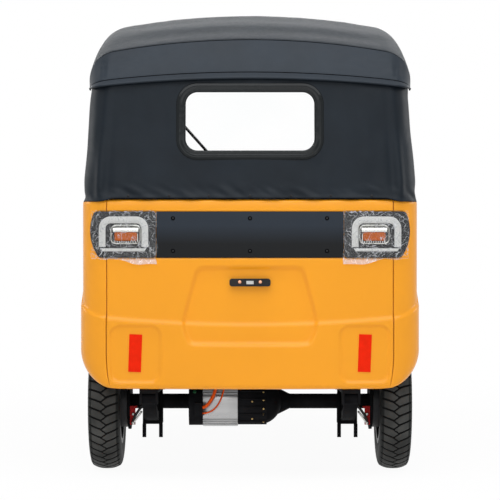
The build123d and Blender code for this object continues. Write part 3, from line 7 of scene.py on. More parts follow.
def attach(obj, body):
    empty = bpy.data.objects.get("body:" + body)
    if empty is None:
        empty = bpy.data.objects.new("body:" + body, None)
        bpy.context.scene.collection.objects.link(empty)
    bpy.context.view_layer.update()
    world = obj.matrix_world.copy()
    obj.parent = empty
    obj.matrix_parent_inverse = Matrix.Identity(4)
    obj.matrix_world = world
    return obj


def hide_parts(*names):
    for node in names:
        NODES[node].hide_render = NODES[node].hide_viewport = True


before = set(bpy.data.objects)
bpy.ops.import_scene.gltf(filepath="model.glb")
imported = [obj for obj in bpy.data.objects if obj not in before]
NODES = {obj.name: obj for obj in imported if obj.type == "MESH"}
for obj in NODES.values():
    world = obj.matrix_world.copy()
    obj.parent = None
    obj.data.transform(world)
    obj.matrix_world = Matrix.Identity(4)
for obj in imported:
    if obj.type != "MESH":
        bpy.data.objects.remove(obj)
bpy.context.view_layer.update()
MM = 0.001

# Materials: one node layout for all, with mottled colour, uneven gloss and fine grain

DRIFT_ENDS = (0.3, 0.7)
GLOSS_FINENESS = 6
GRAIN_DEPTH = 0.001
COAT_ROUGHNESS = 0.05


def add_node(tree, kind, inputs, operation=None):
    """A new shader node whose inputs are set to values or joined to other nodes' outputs."""
    node = tree.nodes.new("ShaderNode" + kind)
    if operation:
        node.operation = operation
    for socket, value in inputs.items():
        if isinstance(value, bpy.types.NodeSocket):
            tree.links.new(value, node.inputs[socket])
        else:
            node.inputs[socket].default_value = value
    return node


def shade(name, colour, roughness, metallic=0.0, coat=0.0, mottle=0.06, mottle_scale=5.0, uneven=0.08,
          grain=0.0, grain_scale=300.0, stretch=(1, 1, 1), specular=0.5, transmission=0.0, ior=1.5):
    """A surface whose colour drifts slowly, whose gloss varies and whose grain is a fine bump."""
    material = bpy.data.materials.new(name)
    material.use_nodes = True
    tree = material.node_tree
    principled = tree.nodes["Principled BSDF"]
    place = add_node(tree, "TexCoord", {})
    mapping = add_node(tree, "Mapping", {"Scale": stretch, "Vector": place.outputs["Object"]})

    def noise_at(scale, detail):
        """Output of a cloudy texture that rides on the object."""
        texture = {"Scale": scale, "Detail": detail, "Vector": mapping.outputs["Vector"]}
        return add_node(tree, "TexNoise", texture).outputs["Fac"]

    ramp = add_node(tree, "ValToRGB", {"Fac": noise_at(mottle_scale, 4)})
    for end, position, share in zip(ramp.color_ramp.elements, DRIFT_ENDS, (1 - mottle, 1 + mottle)):
        end.position = position
        end.color = (*[min(1, part * share) for part in colour], 1)
    tree.links.new(ramp.outputs["Color"], principled.inputs["Base Color"])
    gloss = add_node(tree, "MapRange", {
        "Value": noise_at(mottle_scale * GLOSS_FINENESS, 6), "To Min": max(0.02, roughness - uneven),
        "To Max": min(1.0, roughness + uneven)})
    tree.links.new(gloss.outputs["Result"], principled.inputs["Roughness"])
    if grain:
        bump = add_node(tree, "Bump", {"Strength": grain, "Distance": GRAIN_DEPTH,
                                       "Height": noise_at(grain_scale, 3)})
        tree.links.new(bump.outputs["Normal"], principled.inputs["Normal"])
    principled.inputs["Metallic"].default_value = metallic
    principled.inputs["Coat Weight"].default_value = coat
    principled.inputs["Coat Roughness"].default_value = COAT_ROUGHNESS
    principled.inputs["Specular IOR Level"].default_value = specular
    principled.inputs["Transmission Weight"].default_value = transmission
    principled.inputs["IOR"].default_value = ior
    return material


def paint_sheen_upwards(material):
    """Turns a surface's colour drift into a slow fade: painted sheen, darkest at its foot."""
    tree = material.node_tree
    place = tree.nodes["Texture Coordinate"]
    split = add_node(tree, "SeparateXYZ", {"Vector": place.outputs["Generated"]})
    tree.links.new(split.outputs["Z"], tree.nodes["Color Ramp"].inputs["Fac"])


PAINT = shade("body_paint", (0.93, 0.36, 0.015), 0.34, coat=0.42, mottle=0.03, mottle_scale=2.5, uneven=0.05,
              grain=0.05, grain_scale=900, specular=0.02)
BLACK = shade("black_paint", (0.013, 0.013, 0.014), 0.42, mottle=0.25, grain=0.08, grain_scale=500,
              specular=0.2)
CHASSIS = shade("chassis_paint", (0.011, 0.011, 0.012), 0.55, mottle=0.4, mottle_scale=12, grain=0.2,
                grain_scale=400, specular=0.05, ior=1.2)
FLOOR_PAINT = shade("floor_paint", (0.08, 0.08, 0.085), 0.6, mottle=0.2, grain=0.4, grain_scale=250)
VINYL = shade("canopy_vinyl", (0.0065, 0.0105, 0.0155), 0.44, mottle=0.15, mottle_scale=7, grain=0.2,
              grain_scale=900, specular=0.15)
# Lighter copy of the canopy vinyl for the roof's top: painted light where the cloth faces up to the sky
LIT_ROOF_VINYL = shade("roof_vinyl_painted_light", (0.021, 0.026, 0.032), 0.6, mottle=0.15, mottle_scale=11, grain=0.4,
                   grain_scale=700, specular=0.08)
SEAM = shade("seam_shadow", (0.003, 0.003, 0.004), 0.7, mottle=0.1, specular=0.02)
# Lighter copy of the canopy vinyl for the band behind the bows: painted light on its up-tilted slope
LIT_LIP_VINYL = shade("lip_vinyl_painted_light", (0.0085, 0.0150, 0.0235), 0.46, mottle=0.15, mottle_scale=7, grain=0.2,
                   grain_scale=650, specular=0.22)
GLOSS_VINYL = shade("border_vinyl", (0.004, 0.006, 0.007), 0.14, mottle=0.3, uneven=0.12, grain=0.5,
                    grain_scale=45, specular=0.2)
CLEAR = shade("clear_film", (1.0, 1.0, 1.0), 0.02, mottle=0.01, uneven=0.02, transmission=1.0, ior=1.02)
GLASS = shade("screen_glass", (0.99, 1.0, 1.0), 0.02, mottle=0.01, uneven=0.01, transmission=1.0, ior=1.02)
GLOSS_BLACK = shade("gloss_black", (0.006, 0.007, 0.008), 0.3, mottle=0.2, specular=0.35)
# The tail band's colour runs from dark at its foot to light at its top: a painted reflection of the sky.
BAND_SHEEN = shade("band_painted_sheen", (0.009, 0.013, 0.019), 0.34, mottle=0.8, mottle_scale=1.0, uneven=0.1,
                   specular=0.18)
paint_sheen_upwards(BAND_SHEEN)
RING = shade("ring_plastic", (0.55, 0.55, 0.53), 0.42, mottle_scale=30)
AMBER = shade("amber_lens", (0.43, 0.088, 0.003), 0.25, mottle=0.15, mottle_scale=60, grain=0.4,
              grain_scale=220, specular=0.2)
RED = shade("red_reflector", (0.85, 0.020, 0.002), 0.36, mottle_scale=40, grain=0.3, grain_scale=420,
            specular=0.06)
CHROME = shade("lamp_chrome", (0.70, 0.70, 0.67), 0.12, metallic=1.0, mottle=0.05, mottle_scale=30)
DARK_CHROME = shade("bezel_chrome", (0.30, 0.30, 0.28), 0.16, metallic=1.0, mottle=0.4, mottle_scale=60)
ALUMINIUM = shade("bare_aluminium", (0.46, 0.46, 0.46), 0.3, metallic=0.75, mottle=0.08, mottle_scale=30,
                  grain=0.15, grain_scale=500, stretch=(0.06, 1, 1))
STEEL = shade("plated_steel", (0.55, 0.54, 0.52), 0.35, metallic=0.9, mottle=0.12, mottle_scale=40)
BRASS = shade("brass_screw", (0.62, 0.42, 0.16), 0.35, metallic=0.9, mottle=0.15, mottle_scale=80)
COPPER = shade("copper_screw", (0.72, 0.36, 0.22), 0.32, metallic=0.8, mottle=0.15, mottle_scale=80)
GREEN = shade("green_spot", (0.01, 0.09, 0.03), 0.3, mottle=0.1)
SPRING = shade("spring_paint", (0.009, 0.009, 0.010), 0.5, mottle=0.35, mottle_scale=20, grain=0.2,
               specular=0.06, ior=1.1)
BRAKE_RED = shade("brake_red", (0.42, 0.007, 0.007), 0.4, mottle=0.25, mottle_scale=30, specular=0.1)
ORANGE = shade("orange_cable", (0.80, 0.095, 0.006), 0.4, mottle=0.08, mottle_scale=40, specular=0.1)
CABLE = shade("black_cable", (0.012, 0.012, 0.012), 0.5, mottle=0.2, mottle_scale=40)
RUBBER = shade("tyre_rubber", (0.050, 0.050, 0.047), 0.5, mottle=0.5, mottle_scale=10, grain=0.35,
               grain_scale=350, specular=0.2, ior=1.35)
# Darker copy of the tyre rubber for the side walls and tread shoulders: painted shade where they turn from
# the light
WALL_SHADE_RUBBER = shade("wall_rubber_painted_shade", (0.020, 0.021, 0.020), 0.55, mottle=0.3, mottle_scale=12, grain=0.3,
                    grain_scale=350, specular=0.15, ior=1.3)
# Darker copy of the tyre rubber for the groove floors: painted shade in the grooves
GROOVE_SHADE_RUBBER = shade("groove_rubber_painted_shade", (0.012, 0.012, 0.012), 0.8, mottle=0.2, mottle_scale=30, specular=0.05)
RUBBER_GRIP = shade("black_rubber", (0.02, 0.02, 0.021), 0.75, mottle=0.2, mottle_scale=25, grain=0.3,
                    specular=0.2)
RIM = shade("rim_paint", (0.035, 0.035, 0.037), 0.4, mottle=0.2, mottle_scale=20, specular=0.2)
SEAT = shade("seat_vinyl", (0.030, 0.030, 0.033), 0.46, mottle=0.15, mottle_scale=20, grain=0.5,
             grain_scale=420)
BATTERY = shade("battery_case", (0.03, 0.03, 0.034), 0.5, mottle=0.2, grain=0.2)
DASH = shade("dash_plastic", (0.025, 0.025, 0.027), 0.55, mottle=0.15, grain=0.5, grain_scale=380)
LENS = shade("headlamp_lens", (0.82, 0.84, 0.86), 0.1, metallic=0.3, coat=0.8, mottle=0.05, grain=0.3,
             grain_scale=160)

NODE_MATERIALS = {
    PAINT: "rear_panel corner_panel_left corner_panel_right side_sills front_cowl front_mudguard",
    BLACK: "wheel_housings windscreen_frame wiper front_fork handlebar mirrors plate_bracket",
    CHASSIS: "chassis_frame axle_housing canopy_frame passenger_seat_base driver_seat_base motor_cap",
    FLOOR_PAINT: "floor_pan", VINYL: "canopy_roof canopy_rear", GLOSS_VINYL: "rear_window_border",
    CLEAR: "rear_window_pane", GLASS: "windscreen_glass", BAND_SHEEN: "tail_band",
    GLOSS_BLACK: "tail_lamp_housings", RING: "tail_lamp_rings", AMBER: "indicator_lenses",
    RED: "rear_reflectors", ALUMINIUM: "drive_motor", SPRING: "leaf_springs spring_clamps",
    BRAKE_RED: "brake_brackets", ORANGE: "motor_cables", CABLE: "brake_cables",
    RUBBER: "tyre_front tyre_rear_left tyre_rear_right", RIM: "rim_front rim_rear_left rim_rear_right",
    SEAT: "passenger_cushion passenger_backrest driver_cushion driver_backrest",
    BATTERY: "battery_pack", DASH: "dashboard", LENS: "headlamps",
}
for material, names in NODE_MATERIALS.items():
    for name in names.split():
        slots = NODES[name].data.materials
        slots.clear()
        slots.append(material)

# Stage: a pale floor under a white surround, soft light from above, from behind the viewer and from the sides

CAMERA_PLACE = (0.0, -8.95, 0.975)
CAMERA_AIM = (0.0, -0.948, 0.827)
FOCAL_PIXELS = 2111.0
FRAME_PIXELS = 500.0
SENSOR = 36.0
SKY_COLOUR = (0.93, 0.96, 1.0, 1)
SKY_STRENGTH = 0.24
WHITE = (1, 1, 1, 1)
FLOOR_HALF = 30.0
FLOOR_COLOUR = (0.97, 0.97, 0.97, 1)
FLOOR_GLOW = 0.95
GLOW_REACH = (1.6, 4.0)
LIGHTS = (
    # name, place, what it faces, size, power, colour
    ("sky_panel", (0, -3.6, 6.0), (0, -0.8, 0.5), (7, 6), 365, (0.96, 0.98, 1.0)),
    ("rear_panel_light", (0, -9.0, 2.5), (0, -1.3, 0.8), (7, 3), 108, (1, 1, 1)),
    ("front_panel_light", (0, 8.0, 4.0), (0, 1.0, 0.8), (7, 4), 300, (1, 1, 1)),
    ("side_panel_light", (-9.0, 2.0, 3.0), (0, 0.3, 0.8), (5, 3), 130, (1, 1, 1)),
    ("side_panel_light", (9.0, 2.0, 3.0), (0, 0.3, 0.8), (5, 3), 130, (1, 1, 1)),
)


def add_object(name, data, place=None, aim=None):
    """Puts an object into the scene, turned from its place to face a point where one is given."""
    thing = bpy.data.objects.new(name, data)
    if place:
        thing.location = place
        thing.rotation_euler = (Vector(aim) - Vector(place)).to_track_quat("-Z", "Y").to_euler()
    bpy.context.scene.collection.objects.link(thing)
    return thing


def white_for_camera(tree, shader, output, white):
    """Shows plain white to the camera, to gloss and through glass, and the shader to all other rays."""
    path = add_node(tree, "LightPath", {}).outputs
    glossy = add_node(tree, "Math", {0: path["Is Camera Ray"], 1: path["Is Glossy Ray"]}, "MAXIMUM")
    either = add_node(tree, "Math", {0: glossy.outputs[0], 1: path["Is Transmission Ray"]}, "MAXIMUM")
    mix = add_node(tree, "MixShader", {"Fac": either.outputs[0], 1: shader.outputs[0], 2: white.outputs[0]})
    tree.links.new(mix.outputs[0], output.inputs["Surface"])


camera_data = bpy.data.cameras.new("camera")
camera_data.sensor_width = SENSOR
camera_data.lens = SENSOR * FOCAL_PIXELS / FRAME_PIXELS
bpy.context.scene.camera = add_object("camera", camera_data, CAMERA_PLACE, CAMERA_AIM)

world = bpy.data.worlds.new("surround")
bpy.context.scene.world = world
world.use_nodes = True
sky = world.node_tree.nodes["Background"]
sky.inputs["Color"].default_value = SKY_COLOUR
sky.inputs["Strength"].default_value = SKY_STRENGTH
white_sky = add_node(world.node_tree, "Background", {"Color": WHITE, "Strength": 1.0})
white_for_camera(world.node_tree, sky, world.node_tree.nodes["World Output"], white_sky)

floor_mesh = bpy.data.meshes.new("floor")
floor_mesh.from_pydata([(x * FLOOR_HALF, y * FLOOR_HALF, 0) for x, y in ((-1, -1), (1, -1), (1, 1), (-1, 1))],
                       [], [(0, 1, 2, 3)])
floor = add_object("floor", floor_mesh)
floor_white = bpy.data.materials.new("floor_white")
floor_white.use_nodes = True
floor_tree = floor_white.node_tree
pale = floor_tree.nodes["Principled BSDF"]
pale.inputs["Base Color"].default_value = FLOOR_COLOUR
pale.inputs["Roughness"].default_value = 0.9
pale.inputs["Specular IOR Level"].default_value = 0.0
floor_glow = add_node(floor_tree, "Emission", {"Color": WHITE, "Strength": 1.0})
floor_place = add_node(floor_tree, "TexCoord", {})
floor_reach = add_node(floor_tree, "VectorMath", {0: floor_place.outputs["Object"]}, "LENGTH")
floor_fade = add_node(floor_tree, "MapRange", {
    "Value": floor_reach.outputs["Value"], "From Min": GLOW_REACH[0], "From Max": GLOW_REACH[1],
    "To Min": FLOOR_GLOW, "To Max": 1.0})
floor_mix = add_node(floor_tree, "MixShader", {
    "Fac": floor_fade.outputs["Result"], 1: pale.outputs[0], 2: floor_glow.outputs[0]})
white_for_camera(floor_tree, pale, floor_tree.nodes["Material Output"], floor_mix)
floor_mesh.materials.append(floor_white)

for name, place, aim, size, power, colour in LIGHTS:
    light = bpy.data.lights.new(name, "AREA")
    light.shape = "RECTANGLE"
    light.size, light.size_y = size
    light.energy = power
    light.color = colour
    add_object(name, light, place, aim)
bpy.context.scene.view_settings.view_transform = "Standard"

# Mesh helpers: sizes are in millimetres until a piece is made


def smooth(t):
    """Eases from 0 to 1 as t does."""
    t = min(1.0, max(0.0, t))
    return t * t * (3 - 2 * t)


def make_piece(name, vertices, faces, material, body="vehicle", slot=None, replaced=(), flat=False):
    """A mesh piece in millimetres that rides on a body and may stand for CAD nodes."""
    mesh = bpy.data.meshes.new(name)
    mesh.from_pydata([Vector(v) * MM for v in vertices], [], faces)
    mesh.materials.append(material)
    shell = bmesh.new()
    shell.from_mesh(mesh)
    if all(edge.is_manifold for edge in shell.edges):
        bmesh.ops.recalc_face_normals(shell, faces=shell.faces)
        shell.to_mesh(mesh)
    shell.free()
    if not flat:
        mesh.shade_smooth()
    mesh.update()
    piece = add_object(name, mesh)
    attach(piece, body)
    if replaced:
        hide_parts(*replaced)
    return piece


def grid_faces(rows, columns, closed=False, keep=None, start=0):
    """Quads over a grid of points laid row by row, closed round its columns or with places left out."""
    faces = []
    for row in range(rows - 1):
        for column in range(columns if closed else columns - 1):
            following = (column + 1) % columns
            if keep is None or keep(row, column):
                near, far = start + row * columns, start + (row + 1) * columns
                faces.append((near + column, near + following, far + following, far + column))
    return faces


def merge(parts):
    """One list of vertices and one of faces from several forms."""
    vertices, faces = [], []
    for points, quads in parts:
        faces += [tuple(index + len(vertices) for index in quad) for quad in quads]
        vertices += points
    return vertices, faces


def strip(rows, place, closed=False):
    """Vertices and faces of a strip of equally long rows of points, each put in place."""
    vertices = [place(*point) for row in rows for point in row]
    return vertices, grid_faces(len(rows), len(rows[0]), closed=closed)


def as_given(x, y, z):
    """A place that needs no change."""
    return x, y, z


def spread(low, high, step):
    """Evenly spaced values from low to high, about a step apart."""
    count = max(1, round(abs(high - low) / step))
    return [low + (high - low) * i / count for i in range(count + 1)]


def both_halves(places):
    """The parts of a right half, from the middle outwards, with the left half before them."""
    return [(side, *place) for side, half in ((-1, places[:0:-1]), (1, places)) for place in half]


def rounded_corners(half_x, half_z, radius, steps):
    """Round a rounded rectangle: each corner's middle and the way out from it."""
    return [(sx * (half_x - radius), sz * (half_z - radius), cos(turn), sin(turn))
            for corner, (sx, sz) in enumerate(((1, 1), (-1, 1), (-1, -1), (1, -1)))
            for turn in (pi / 2 * (corner + step / steps) for step in range(steps + 1))]


def thicken(piece, thickness):
    """Gives a sheet an inside face."""
    solidify = piece.modifiers.new("thickness", "SOLIDIFY")
    solidify.thickness = thickness * MM
    solidify.offset = -1


# Rear body: one pressed form, drawn in from an outline by its relief, split at the two seams

REAR_Y = -1348
BODY_HALF = 620
BODY_CORNER = 120
LEAST_CORNER = 14.0
BODY_BOW = 20
SKIRT_Z = 330
BELT_Z = 1017
TUCK = 140
SEAM_X = 520
SEAM_GAP = 1.6
FLAT_S = BODY_HALF - BODY_CORNER
ARC_S = BODY_CORNER * pi / 2
REAR_AXLE_Y = -948
AXLE_Z = 254
ARCH_RADIUS = 304
QUARTER_FRONT_Y = -603
QUARTER_SWEEP = 150
QUARTER_SILL_Z = 640
SWEEP_EASE = 60
LEDGE = 8
CREASE_Z = 565
CREASE_ENDS = (25, 47)
CREASE_WIDTH = 15
# Each side of the plate's recess: the way out across and up, and its distance
PLATE_SIDES = ((0, 1, -770), (0.964, 0.266, -387.5), (0.933, -0.358, -26.5), (0, -1, 494))
PLATE_EASE = 9.0
PLATE_DEPTH = 13
PLATE_SOFT = (20, 15)
# Middle across and up, half width, half height and corner radius
PAD = (415, 458, 90, 102, 36)
PAD_DEPTH = 7
PAD_SOFT = (9, 12, 26)
BAND_LOW_Z, BAND_HIGH_Z, BAND_HALF = 806, 973, 340
BAND_MID_Z = (BAND_LOW_Z + BAND_HIGH_Z) / 2
BAND_HALF_Z = (BAND_HIGH_Z - BAND_LOW_Z) / 2
BAND_SINK = 7
LAMP_SINK = 14
SINK_SOFT = 4
LAMP_OUTER = 578
LAMP_TAPER = 30
LAMP_WIDEST = 12
LAMP_HALF_Z = 84
BELT_ROLL = 14
UNDER_ROLL = 20
EDGE_TURN = (1.2, 3.5, 22.0)
BODY_STEP = 4.2
CORNER_STEP = 5
SIDE_STEP = 0.01
RISE_STEP = 0.0075


def tuck_half(z):
    """Half width of the body at a height, with its lower corners rounded under."""
    drop = max(0.0, SKIRT_Z + TUCK - z)
    return BODY_HALF - TUCK + sqrt(max(0.0, TUCK ** 2 - drop ** 2))


def crease_z(s):
    """Height of the pressed line at a place along the outline."""
    if s < SEAM_X:
        return CREASE_Z + CREASE_ENDS[0] * (s / SEAM_X) ** 2
    return CREASE_Z + CREASE_ENDS[0] + CREASE_ENDS[1] * smooth((s - SEAM_X) / (FLAT_S + ARC_S - SEAM_X))


def rounded_distance(x, z, half_x, half_z, radius):
    """Distance outside a rounded rectangle, negative inside."""
    dx, dz = abs(x) - half_x + radius, abs(z) - half_z + radius
    return min(max(dx, dz), 0) + hypot(max(dx, 0), max(dz, 0)) - radius


def plate_distance(x, z):
    """Distance outside the number plate's recess, with eased corners, negative inside."""
    return PLATE_EASE * log(sum(exp((a * x + b * z + c) / PLATE_EASE) for a, b, c in PLATE_SIDES))


def lamp_distance(x, z):
    """Distance outside a lamp's outline, negative inside, from the vehicle's middle outwards."""
    outer = LAMP_OUTER - LAMP_TAPER * ((z - BAND_MID_Z - LAMP_WIDEST) / LAMP_HALF_Z) ** 2
    return max(BAND_HALF - x, x - outer, abs(z - BAND_MID_Z) - BAND_HALF_Z)


def relief(s, x, z):
    """How far the body's face lies inside its outermost outline."""
    crease = crease_z(s)
    depth = LEDGE * smooth((z - crease) / CREASE_WIDTH + 0.5)
    if x < BODY_HALF - UNDER_ROLL and s < FLAT_S + ARC_S:
        soft = PLATE_SOFT[0] if z > crease else PLATE_SOFT[1]
        depth += PLATE_DEPTH * smooth(0.5 - plate_distance(x, z) / soft)
        pad = rounded_distance(x - PAD[0], z - PAD[1], *PAD[2:])
        sharp = PAD_SOFT[0] if z > PAD[1] else PAD_SOFT[1]
        soft = PAD_SOFT[2] + (sharp - PAD_SOFT[2]) * smooth(abs(z - PAD[1]) / PAD[3])
        depth += PAD_DEPTH * smooth(0.5 - pad / soft)
        band = max(x - BAND_HALF, abs(z - BAND_MID_Z) - BAND_HALF_Z)
        depth += BAND_SINK * smooth(0.5 - band / SINK_SOFT)
        depth += LAMP_SINK * smooth(0.5 - lamp_distance(x, z) / SINK_SOFT)
    roll = max(0.0, z - BELT_Z + BELT_ROLL)
    depth += BELT_ROLL - sqrt(max(0.0, BELT_ROLL ** 2 - roll ** 2))
    return depth


def body_place(s, z, push=0.0, ahead=None):
    """A point of the body's right half, pushed in by push, at s along the outline or ahead on the side."""
    lost = BODY_HALF - tuck_half(z)
    nominal = min(s, FLAT_S) + (BODY_CORNER * sin((s - FLAT_S) / BODY_CORNER) if s > FLAT_S else 0)
    inset = relief(s, nominal, z) + push
    half = BODY_HALF - lost - inset
    corner = max(LEAST_CORNER, BODY_CORNER - lost - inset)
    roll = max(0.0, SKIRT_Z + UNDER_ROLL - z)
    rear = REAR_Y + inset + UNDER_ROLL - sqrt(max(0.0, UNDER_ROLL ** 2 - roll ** 2))
    flat = half - corner
    if ahead is not None:
        sill = QUARTER_SILL_Z - SWEEP_EASE
        front = QUARTER_FRONT_Y - QUARTER_SWEEP * smooth((z - sill) / (BELT_Z - sill))
        start = rear + BODY_BOW + corner
        return half, start + (front - start) * ahead, z
    if s <= FLAT_S:
        return s / FLAT_S * flat, rear + BODY_BOW * (s / FLAT_S) ** 2, z
    turn = (s - FLAT_S) / BODY_CORNER
    return flat + corner * sin(turn), rear + BODY_BOW + corner * (1 - cos(turn)), z


def with_edges(places):
    """Rows or columns whose two ends are turned in: each place and how far it is pushed in."""
    return ([(places[0], push) for push in reversed(EDGE_TURN)] + [(place, 0) for place in places]
            + [(places[-1], push) for push in EDGE_TURN])


def rear_point(x, z, push):
    """A point of the rear panel, on either side of the middle."""
    across, y, z = body_place(abs(x), z, push)
    return (across if x >= 0 else -across), y, z


def corner_point(column, rise, push):
    """A point of a right-hand corner panel, whose lower edge follows the wheel arch."""
    s, ahead = column
    low_z = SKIRT_Z
    if ahead is not None:
        y = body_place(s, SKIRT_Z + TUCK, 0, ahead)[1]
        low_z = max(SKIRT_Z, AXLE_Z + sqrt(max(0.0, ARCH_RADIUS ** 2 - (y - REAR_AXLE_Y) ** 2)))
    return body_place(s, low_z + (BELT_Z - low_z) * rise, push, ahead)


panel_rows = with_edges(spread(SKIRT_Z, BELT_Z, BODY_STEP))
panel_columns = with_edges(spread(-(SEAM_X - SEAM_GAP), SEAM_X - SEAM_GAP, BODY_STEP))
vertices = [rear_point(x, z, max(row_push, column_push)) for z, row_push in panel_rows
            for x, column_push in panel_columns]
make_piece("rear_body_panel", vertices, grid_faces(len(panel_rows), len(panel_columns)), PAINT,
           slot="body_paint", replaced=("rear_panel",))

corner_places = [(s, None) for s in spread(SEAM_X + SEAM_GAP, FLAT_S + ARC_S, CORNER_STEP)]
corner_places += [(FLAT_S + ARC_S, ahead) for ahead in spread(0, 1, SIDE_STEP)[1:]]
corner_columns = with_edges(corner_places)
corner_rows = with_edges(spread(0, 1, RISE_STEP))
corner_points = [corner_point(column, rise, max(row_push, column_push)) for rise, row_push in corner_rows
                 for column, column_push in corner_columns]
for side, name in ((-1, "left"), (1, "right")):
    faces = grid_faces(len(corner_rows), len(corner_columns))
    if side < 0:
        faces = [face[::-1] for face in faces]
    make_piece(f"corner_body_{name}", [(side * x, y, z) for x, y, z in corner_points], faces, PAINT,
               slot="body_paint", replaced=(f"corner_panel_{name}",))

# Canopy roof: one cloth carried round a long arc, turned down at the back to a lip, sagging between bows

ROOF_TOP_Z = 1780
ROOF_ARC = 4000
ROOF_CROWN = 2850
ROOF_HALF = 590
ROOF_CORNER = 110
ROOF_DROP = 190
ROOF_REAR_Y = -1180
ROOF_FRONT_Y = 850
ROOF_STEP = 26
SECTION_STEPS = (0.016, 0.05, 0.1)
DROP_STEP = 0.025
SIDE_END = 0.2
ROOF_THICK = 3
RIDGE_Z = 1446
RIDGE_INSET = 70
RIDGE_CORNER = 60
BOW_YS = (820, 400, -20, -450, -880, -1150)
BOW_SAG = 5
SAG_EDGE = (380, 200)
REAR_EASE = 60
# Height, size and seed of each run of small folds
ROOF_FOLDS = ((1.2, 130, 3), (0.8, 45, 9))
SIDE_WAVE = (3.0, 90, 5)
SIDE_WAVE_FROM = (560, 30, 60)
BAND_FOLDS = ((2, 110, 2), (1.4, 38, 7))
BAND_FOLDS_FROM = (250, 320)
SEAM_DROP = 0.85
SEAM_TUCK = (1.6, 0.03)
SEAM_BEAD = 2.3
SEAM_LIFTS = (0.9, 1.6)
BAND_BELLY = 3
LIP_ARCH = 16
LIP_DROP = 6
LIP_DRAW = 9
LIP_DRAW_FROM = (480, 100)
LIP_FLARE = 7
LIP_BEAD = 2.6
# Where the band creases over the end of the last bow: its groove and the fall beyond it, each with its width
CREASE_X = 535
CREASE_GROOVE = (5, 7)
CREASE_FALL = (9, 30)

reach = sqrt((ROOF_CROWN - ROOF_CORNER) ** 2 - (ROOF_HALF - ROOF_CORNER) ** 2)
CORNER_H = reach - ROOF_CROWN
LEAN = atan2(reach, ROOF_HALF - ROOF_CORNER)
SIDE_LENGTH = CORNER_H + ROOF_DROP


def in_parts(steps):
    """Shares along the crown or back, the corner and the side, with each part's own step."""
    return [(part, share) for part, step in enumerate(steps) for share in spread(0, 1, step)[min(part, 1):]]


def roof_section(part, share):
    """Across and up from the roof's top line: part 0 is the crown, 1 the corner and 2 the side."""
    if part == 0:
        turn = pi / 2 - share * (pi / 2 - LEAN)
        return ROOF_CROWN * cos(turn), ROOF_CROWN * sin(turn) - ROOF_CROWN
    if part == 1:
        turn = LEAN * (1 - share)
        return ROOF_HALF - ROOF_CORNER + ROOF_CORNER * cos(turn), CORNER_H + ROOF_CORNER * sin(turn)
    return ROOF_HALF, CORNER_H - share * SIDE_LENGTH


def plan_place(part, share, half, rear, corner, front):
    """Across and along in plan for the same parts: a bowed back, a round corner and a straight side."""
    if part == 0:
        return share * (half - corner), rear + BODY_BOW * share ** 2
    if part == 1:
        turn = share * pi / 2
        return half - corner + corner * sin(turn), rear + BODY_BOW + corner * (1 - cos(turn))
    start = rear + BODY_BOW + corner
    return half, start + (front - start) * share


def lip_z(x):
    """Height of the roof's rear lip, arched up in the middle."""
    return RIDGE_Z - LIP_DROP + LIP_ARCH * (1 - 2 * min(1, abs(x) / ROOF_HALF) ** 2)


def on_arc(x, h, y):
    """A point of the roof whose section stands where the long arc passes y."""
    turn = asin(y / ROOF_ARC)
    radius = ROOF_ARC + h
    return x, radius * sin(turn), ROOF_TOP_Z - ROOF_ARC + radius * cos(turn)


def ripple(x, y, z, size, seed):
    """Small uneven folds in cloth, between -1 and 1."""
    return noise.noise((x / size + seed, y / size, z / size))


def bow_sag(y):
    """How far the cloth hangs between the bows at y, from 0 to 1."""
    for front, back in zip(BOW_YS, BOW_YS[1:]):
        if back <= y <= front:
            return sin(pi * (y - back) / (front - back)) ** 2
    return 0.0


def over_bows(side, part, share, y):
    """A point of the cloth over the bows."""
    x, h = roof_section(part, share)
    h -= BOW_SAG * bow_sag(y) * (1 - smooth((x - SAG_EDGE[0]) / SAG_EDGE[1]))
    for height, size, seed in ROOF_FOLDS:
        h += height * ripple(side * x, y, 0, size, seed) * smooth((y - ROOF_REAR_Y) / REAR_EASE)
    height, size, seed = SIDE_WAVE
    start, ease, fall = SIDE_WAVE_FROM
    wave = height * ripple(side, y, h, size, seed) * smooth((x - start) / ease)
    wave *= smooth((CORNER_H - h) / fall)
    return on_arc(side * (x + wave), h, y)


def behind_bows(side, part, share, drop):
    """A point of the cloth behind the last bow: a band that bellies out down to a seam, then a flared lip."""
    plan_x, plan_y = plan_place(part, share, ROOF_HALF, REAR_Y + RIDGE_INSET, RIDGE_CORNER, ROOF_REAR_Y)
    low = Vector((plan_x, plan_y, lip_z(plan_x)))
    x, y, z = Vector(on_arc(*roof_section(part, share), ROOF_REAR_Y)).lerp(low, drop)
    inner = 1 - smooth((share - SIDE_END) / (1 - SIDE_END)) if part == 2 else 1.0
    (coarse, *coarse_run), (fine, *fine_run) = BAND_FOLDS
    fold = coarse * ripple(side * x, y, z, *coarse_run) + fine * ripple(side * x, 0, z * 2, *fine_run)
    fold *= smooth((abs(x) - BAND_FOLDS_FROM[0]) / BAND_FOLDS_FROM[1])
    beyond = x - CREASE_X
    crease = CREASE_GROOVE[0] * exp(-(beyond / CREASE_GROOVE[1]) ** 2)
    crease += CREASE_FALL[0] * smooth(beyond / CREASE_FALL[1])
    below = drop - SEAM_DROP
    lip = LIP_FLARE * smooth(below / (1 - SEAM_DROP)) - SEAM_TUCK[0] * exp(-(below / SEAM_TUCK[1]) ** 2)
    out = ((BAND_BELLY + fold - crease) * sin(pi * min(1, drop / SEAM_DROP)) + lip) * inner
    drawn = LIP_DRAW * smooth(drop) * smooth((x - LIP_DRAW_FROM[0]) / LIP_DRAW_FROM[1]) * inner
    return side * (x - drawn), y - out, z


